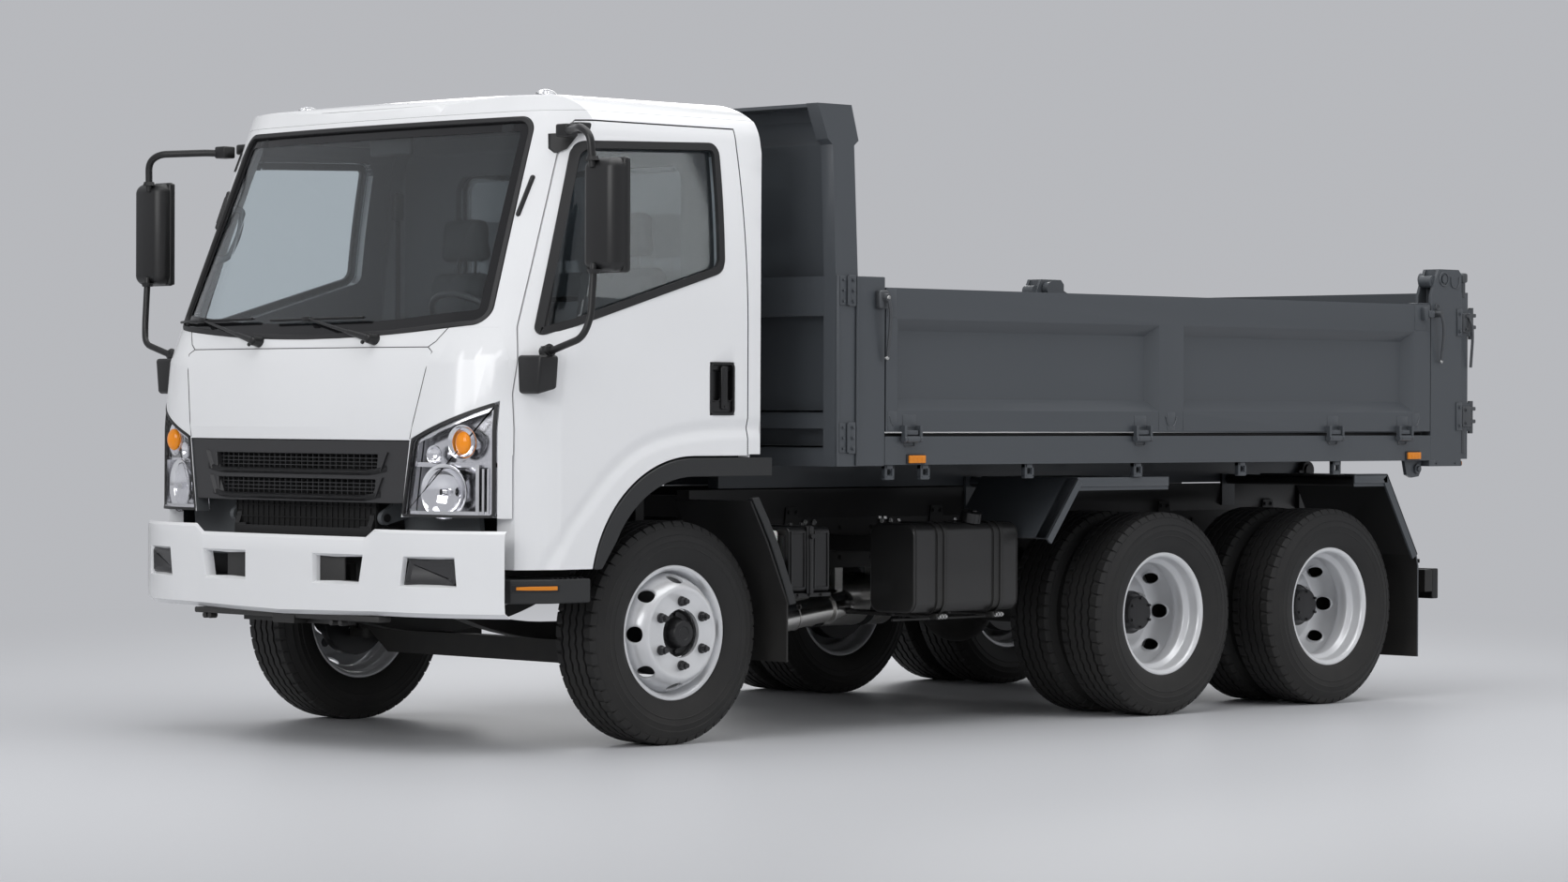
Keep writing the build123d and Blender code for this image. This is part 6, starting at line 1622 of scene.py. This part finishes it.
bm = bmesh.new()
face = round_corners(bm, face_in(bm, [(TANK[0][0], TANK[2][0]), (TANK[0][1], TANK[2][0]), (TANK[0][1], TANK[2][1]),
                                      (TANK[0][0], TANK[2][1])], "y", TANK[1][0]), TANK_ROUND, 8)
made = bmesh.ops.extrude_face_region(bm, geom=[face])["geom"]
bmesh.ops.translate(bm, vec=(0, TANK[1][1] - TANK[1][0], 0),
                    verts=[item for item in made if isinstance(item, bmesh.types.BMVert)])
rod_in(bm, (938, 1500, 724), (948, 1500, 762), 30, 26, 28)
tank = new_piece("fuel_tank_shell", bm, tank_black, "chassis", edge=9.0, segments=4)
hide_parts("fuel_tank")
bm = bmesh.new()
for y in STRAP_Y:
    for low, high, proud in ((-30, 30, 2), (-27, -8, 6), (8, 27, 6)):
        loop_in(bm, (y + low, y + high), proud)
    block_in(bm, (394, 780), (y - 34, y + 34), (404, 420), 3)
    block_in(bm, (752, 768), (y - 34, y + 34), (404, 752), 3)
    rod_in(bm, (1006, y - 12, 412), (760, y - 12, 412), 7, segments=12)
    block_in(bm, (960, 1000), (y - 24, y + 24), (398, 420), 4)
for y in (1159, 1697):
    loop_in(bm, (y, y + 3), 2)
block_in(bm, (880, 890), (1152, 1700), (392, 402), 2)
new_piece("tank_straps", bm, chassis_black, "chassis", edge=1.0)
bm = bmesh.new()
cap = rod_in(bm, (947, 1500, 756), (957, 1500, 792), 41, 39, 36)
for vert in cap:
    if round(math.atan2(vert.co.y - 1500, vert.co.x - 950) / math.tau * 36) % 2:
        vert.co.x, vert.co.y = 951 + (vert.co.x - 951) * 0.95, 1500 + (vert.co.y - 1500) * 0.95
block_in(bm, (930, 976), (1488, 1512), (788, 797), 4, 3)
new_piece("tank_cap", bm, satin_black, "chassis", edge=1.5)
bm = bmesh.new()
for y in STRAP_Y:
    for step in (-12, 4, 20):
        bolt_in(bm, (1000, y + step, 409), "x", 13, 17)
    bolt_in(bm, (800, y - 20, 757), "z", 12, 17)
new_piece("tank_nuts", bm, zinc, "chassis", smooth=30)

# ---------------------------------------------------------------- battery box and washer bottle
# Black moulded cover over the batteries, clamped by an upright strap with a screw; the white bottle stands before it.
# The cover's ribs are moulded on, and the bottle is blown from milky plastic and clipped to the frame.
bm = bmesh.new()
for low, high in ((522, 588), (638, 704)):
    for z in ((528, 536), (727, 735)):
        block_in(bm, (999, 1005), (low, high), z, 2)
    for y in (low, high):
        block_in(bm, (999, 1005), (y - 4, y + 4), (528, 735), 2)
block_in(bm, (999, 1006), (596, 630), (512, 751), 3)
block_in(bm, (1005, 1011), (606, 620), (512, 751), 2)
block_in(bm, (742, 1002), (596, 630), (746, 754), 3)
block_in(bm, (760, 980), (505, 511), (540, 720), 3)
block_in(bm, (394, 742), (560, 660), (560, 580), 4)
block_in(bm, (742, 1000), (504, 722), (500, 515), 4)
rod_in(bm, (1009, 613, 716), (1020, 613, 716), 10, 9, 16)
for y in (556, 613, 672):
    bolt_in(bm, (1000, y, 507), "x", 11, 15)
    rod_in(bm, (960, y, 754), (960, y, 764), 9, 8, 12)
new_piece("battery_straps", bm, satin_black, "chassis", edge=1.0)
panel("battery_box", "battery_cover", satin_black, 7.0, 3)
bottle_white = finish("bottle_white", (0.62, 0.63, 0.62), 0.4, shade=0.08, patch=20.0, grain=600.0, bump=0.05,
                      sockets=(("Subsurface Weight", 0.2),))
bm = bmesh.new()
block_in(bm, (860, 962), (444, 498), (628, 738), 12, 4)
rod_in(bm, (915, 470, 736), (915, 470, 752), 16, segments=20)
new_piece("washer_bottle", bm, bottle_white, "chassis")

# ---------------------------------------------------------------- exhaust
# Aluminised steel silencer and a bright pipe of a hand's width, clamped in sleeves and open at its front end.
# Dark bands are painted shade standing for the clamps' shadow gaps, and the dark disc in the mouth is painted soot and
# shade of the pipe's inside.
pipe_steel = finish("pipe_steel", (0.56, 0.55, 0.53), 0.24, metal=1.0, shade=0.18, patch=7.0, grain=500.0, bump=0.08,
                    dull=0.2)
# near-black that stands for soot at the mouth and is painted shade in the bands, the rings and the block
soot_and_painted_shade = finish("soot_and_painted_shade", (0.006, 0.006, 0.006), 0.9, shade=0.2)
paint(pipe_steel, "exhaust_steel", "exhaust")
PIPE = (Vector((500, 790, 372)), Vector((500, 1300, 440)))
run = (PIPE[1] - PIPE[0]).normalized()
bm = bmesh.new()
for start, end, radius in ((-46, 6, 52.5), (118, 128, 54.5), (128, 222, 52.5), (222, 228, 54.5), (404, 414, 60),
                           (414, 420, 55)):
    rod_in(bm, PIPE[0] + run * start, PIPE[0] + run * end, radius, segments=48)
new_piece("pipe_sleeves", bm, pipe_steel, "chassis", edge=2.0)
# painted shade and soot: a dark disc in the pipe's mouth, a dark band in a clamp's gap, a small dark block under the
# pipe and two wide dark rings further back
bm = bmesh.new()
rod_in(bm, PIPE[0] + run * -47, PIPE[0] + run * -46.2, 46.5, segments=40)
rod_in(bm, PIPE[0] + run * 100, PIPE[0] + run * 114, 56, segments=40)
block_in(bm, (490, 510), (890, 905), (330, 352), 3)
for station in (1400, 1640):
    rod_in(bm, (215, station - 16, 440), (215, station + 16, 440), 103, segments=48)
new_piece("pipe_mouth_and_painted_shade", bm, soot_and_painted_shade, "chassis", edge=0.5)

# ---------------------------------------------------------------- steps, arch trims and mudguards
# Moulded steps and wheel arch lips in dark grey plastic, rubber flaps, and folded steel guards over the rear wheels.
# Steps are bolted to the frame under the doors; amber lamps are let into their slanted front faces.
trim_grey = finish("trim_grey", (0.021, 0.022, 0.023), 0.5, shade=0.08, grain=1600.0, bump=0.12)
flap_rubber = finish("flap_rubber", (0.009, 0.009, 0.0095), 0.6, shade=0.15, patch=7.0, grain=700.0, bump=0.12,
                     dust=0.2, dust_top=0.8)
panel("side_steps", "step_shells", trim_grey, 6.0, 3)
panel("arch_trims", "arch_lips", trim_grey, 5.0, 3)
bm = bmesh.new()
for y in range(-620, -470, 22):
    block_in(bm, (800, 1020), (y, y + 9), (592, 597), 1.5)
prism_in(bm, ((970, -759), (975, -762), (1037.5, -640.6), (1037.5, -601), (1032, -601), (1032, -639)), "z", (552, 574))
block_in(bm, (620, 770), (-640, -560), (520, 585), 6)
new_piece("step_treads", both(bm), satin_black, "chassis")
bm = bmesh.new()
prism_in(bm, ((972, -751), (979, -754), (1039, -641), (1039, -611), (1033, -611), (1033, -639)), "z", (556, 570))
new_piece("step_lamps", both(bm), marker_amber, "chassis", edge=2.0)
panel("front_mudguards", "front_guards", flap_rubber, 2.0, 1)
bm = bmesh.new()
EDGE_PATH = [(296, 856), (345, 776), (392, 690), (432, 600), (462, 530), (481, 476)]
prism_in(bm, EDGE_PATH + [(y + 34, z + 4) for y, z in reversed(EDGE_PATH)], "x", (1012, 1036))
new_piece("front_guard_edges", both(bm), trim_grey, "chassis", edge=4.0)
guards = panel("rear_mudguards", "rear_guards", bed_slate, 2.0, 1)
guards.data.materials.append(flap_rubber)
for face in guards.data.polygons:
    middle = face.center * 1000
    low, inner = middle.z < 584 and middle.y + ROW_SHIFT > 3900, abs(middle.x) < 1104
    y = middle.y + ROW_SHIFT
    under = face.normal.z < -0.3 or (face.normal.y < -0.2 and y > 3000) or (face.normal.y > 0.2 and y < 3000)
    if low or (inner and under):
        face.material_index = 1
bm = bmesh.new()
block_in(bm, (1080, 1117), (1905, 2430), (880, 917), 3)
for start, end in (((1734, 692), (1905, 915)), ((3778, 915), (3977, 588))):
    start, end = Vector(start), Vector(end)
    run = (end - start).normalized()
    across = Vector((run.y, -run.x)) * (36 if run.x > 0 else -36)
    for share, inner_x in ((1.0, 1108), (0.2, 1060)):
        prism_in(bm, [start, end, end + across * share, start + across * share], "x", (inner_x, 1118))
block_in(bm, (1108, 1118), (3566, 3778), (879, 916), 3)
block_in(bm, (1060, 1118), (3566, 3778), (909, 917), 2)
new_piece("guard_edges", both(bm), bed_slate, "chassis", edge=1.6)
bm = bmesh.new()
for x in (680, 820, 960, 1080):
    for y, z in ((3996, 560), (485, 470)):
        bolt_in(bm, (x, y, z), "y", 12, 18)
block_in(bm, (626, 1112), (3993, 3999), (552, 568), 2)
new_piece("flap_bars", both(bm), cast_black, "chassis", smooth=30)

# ---------------------------------------------------------------- tail lamps
# Black moulded boxes with red, amber and clear lenses facing the rear, screwed to the tail bar.
# The lenses are ribbed; the plate holder between the boxes is pressed steel and stays blank.
panel("tail_lamps", "tail_lamp_boxes", satin_black, 5.0, 3)
tail_red = finish("tail_red", (0.42, 0.012, 0.010), 0.12, coat=0.4, shade=0.1, patch=40.0, grain=400.0, bump=0.15)
for name, low, high, shine in (("red", 886, 958, tail_red), ("amber", 962, 1006, marker_amber),
                               ("clear", 1010, 1054, lamp_clear)):
    bm = bmesh.new()
    block_in(bm, (low, high), (4186, 4196), (408, 516), 4, 3)
    for step in range(7):
        block_in(bm, (low + 4, high - 4), (4195, 4197), (416 + step * 14, 419 + step * 14), 0.6)
    new_piece("tail_lens_" + name, both(bm), shine, "chassis")
bm = bmesh.new()
block_in(bm, (-270, 270), (4150, 4156), (452, 536), 5, 3)
for x in (-160, 160):
    rod_in(bm, (x, 4150, 548), (x, 4176, 548), 14, segments=16)
for x in (-420, 420):
    rod_in(bm, (x, 4158, 470), (x, 4150, 470), 34, segments=28)
new_piece("plate_holder", bm, satin_black, "chassis", edge=1.0)
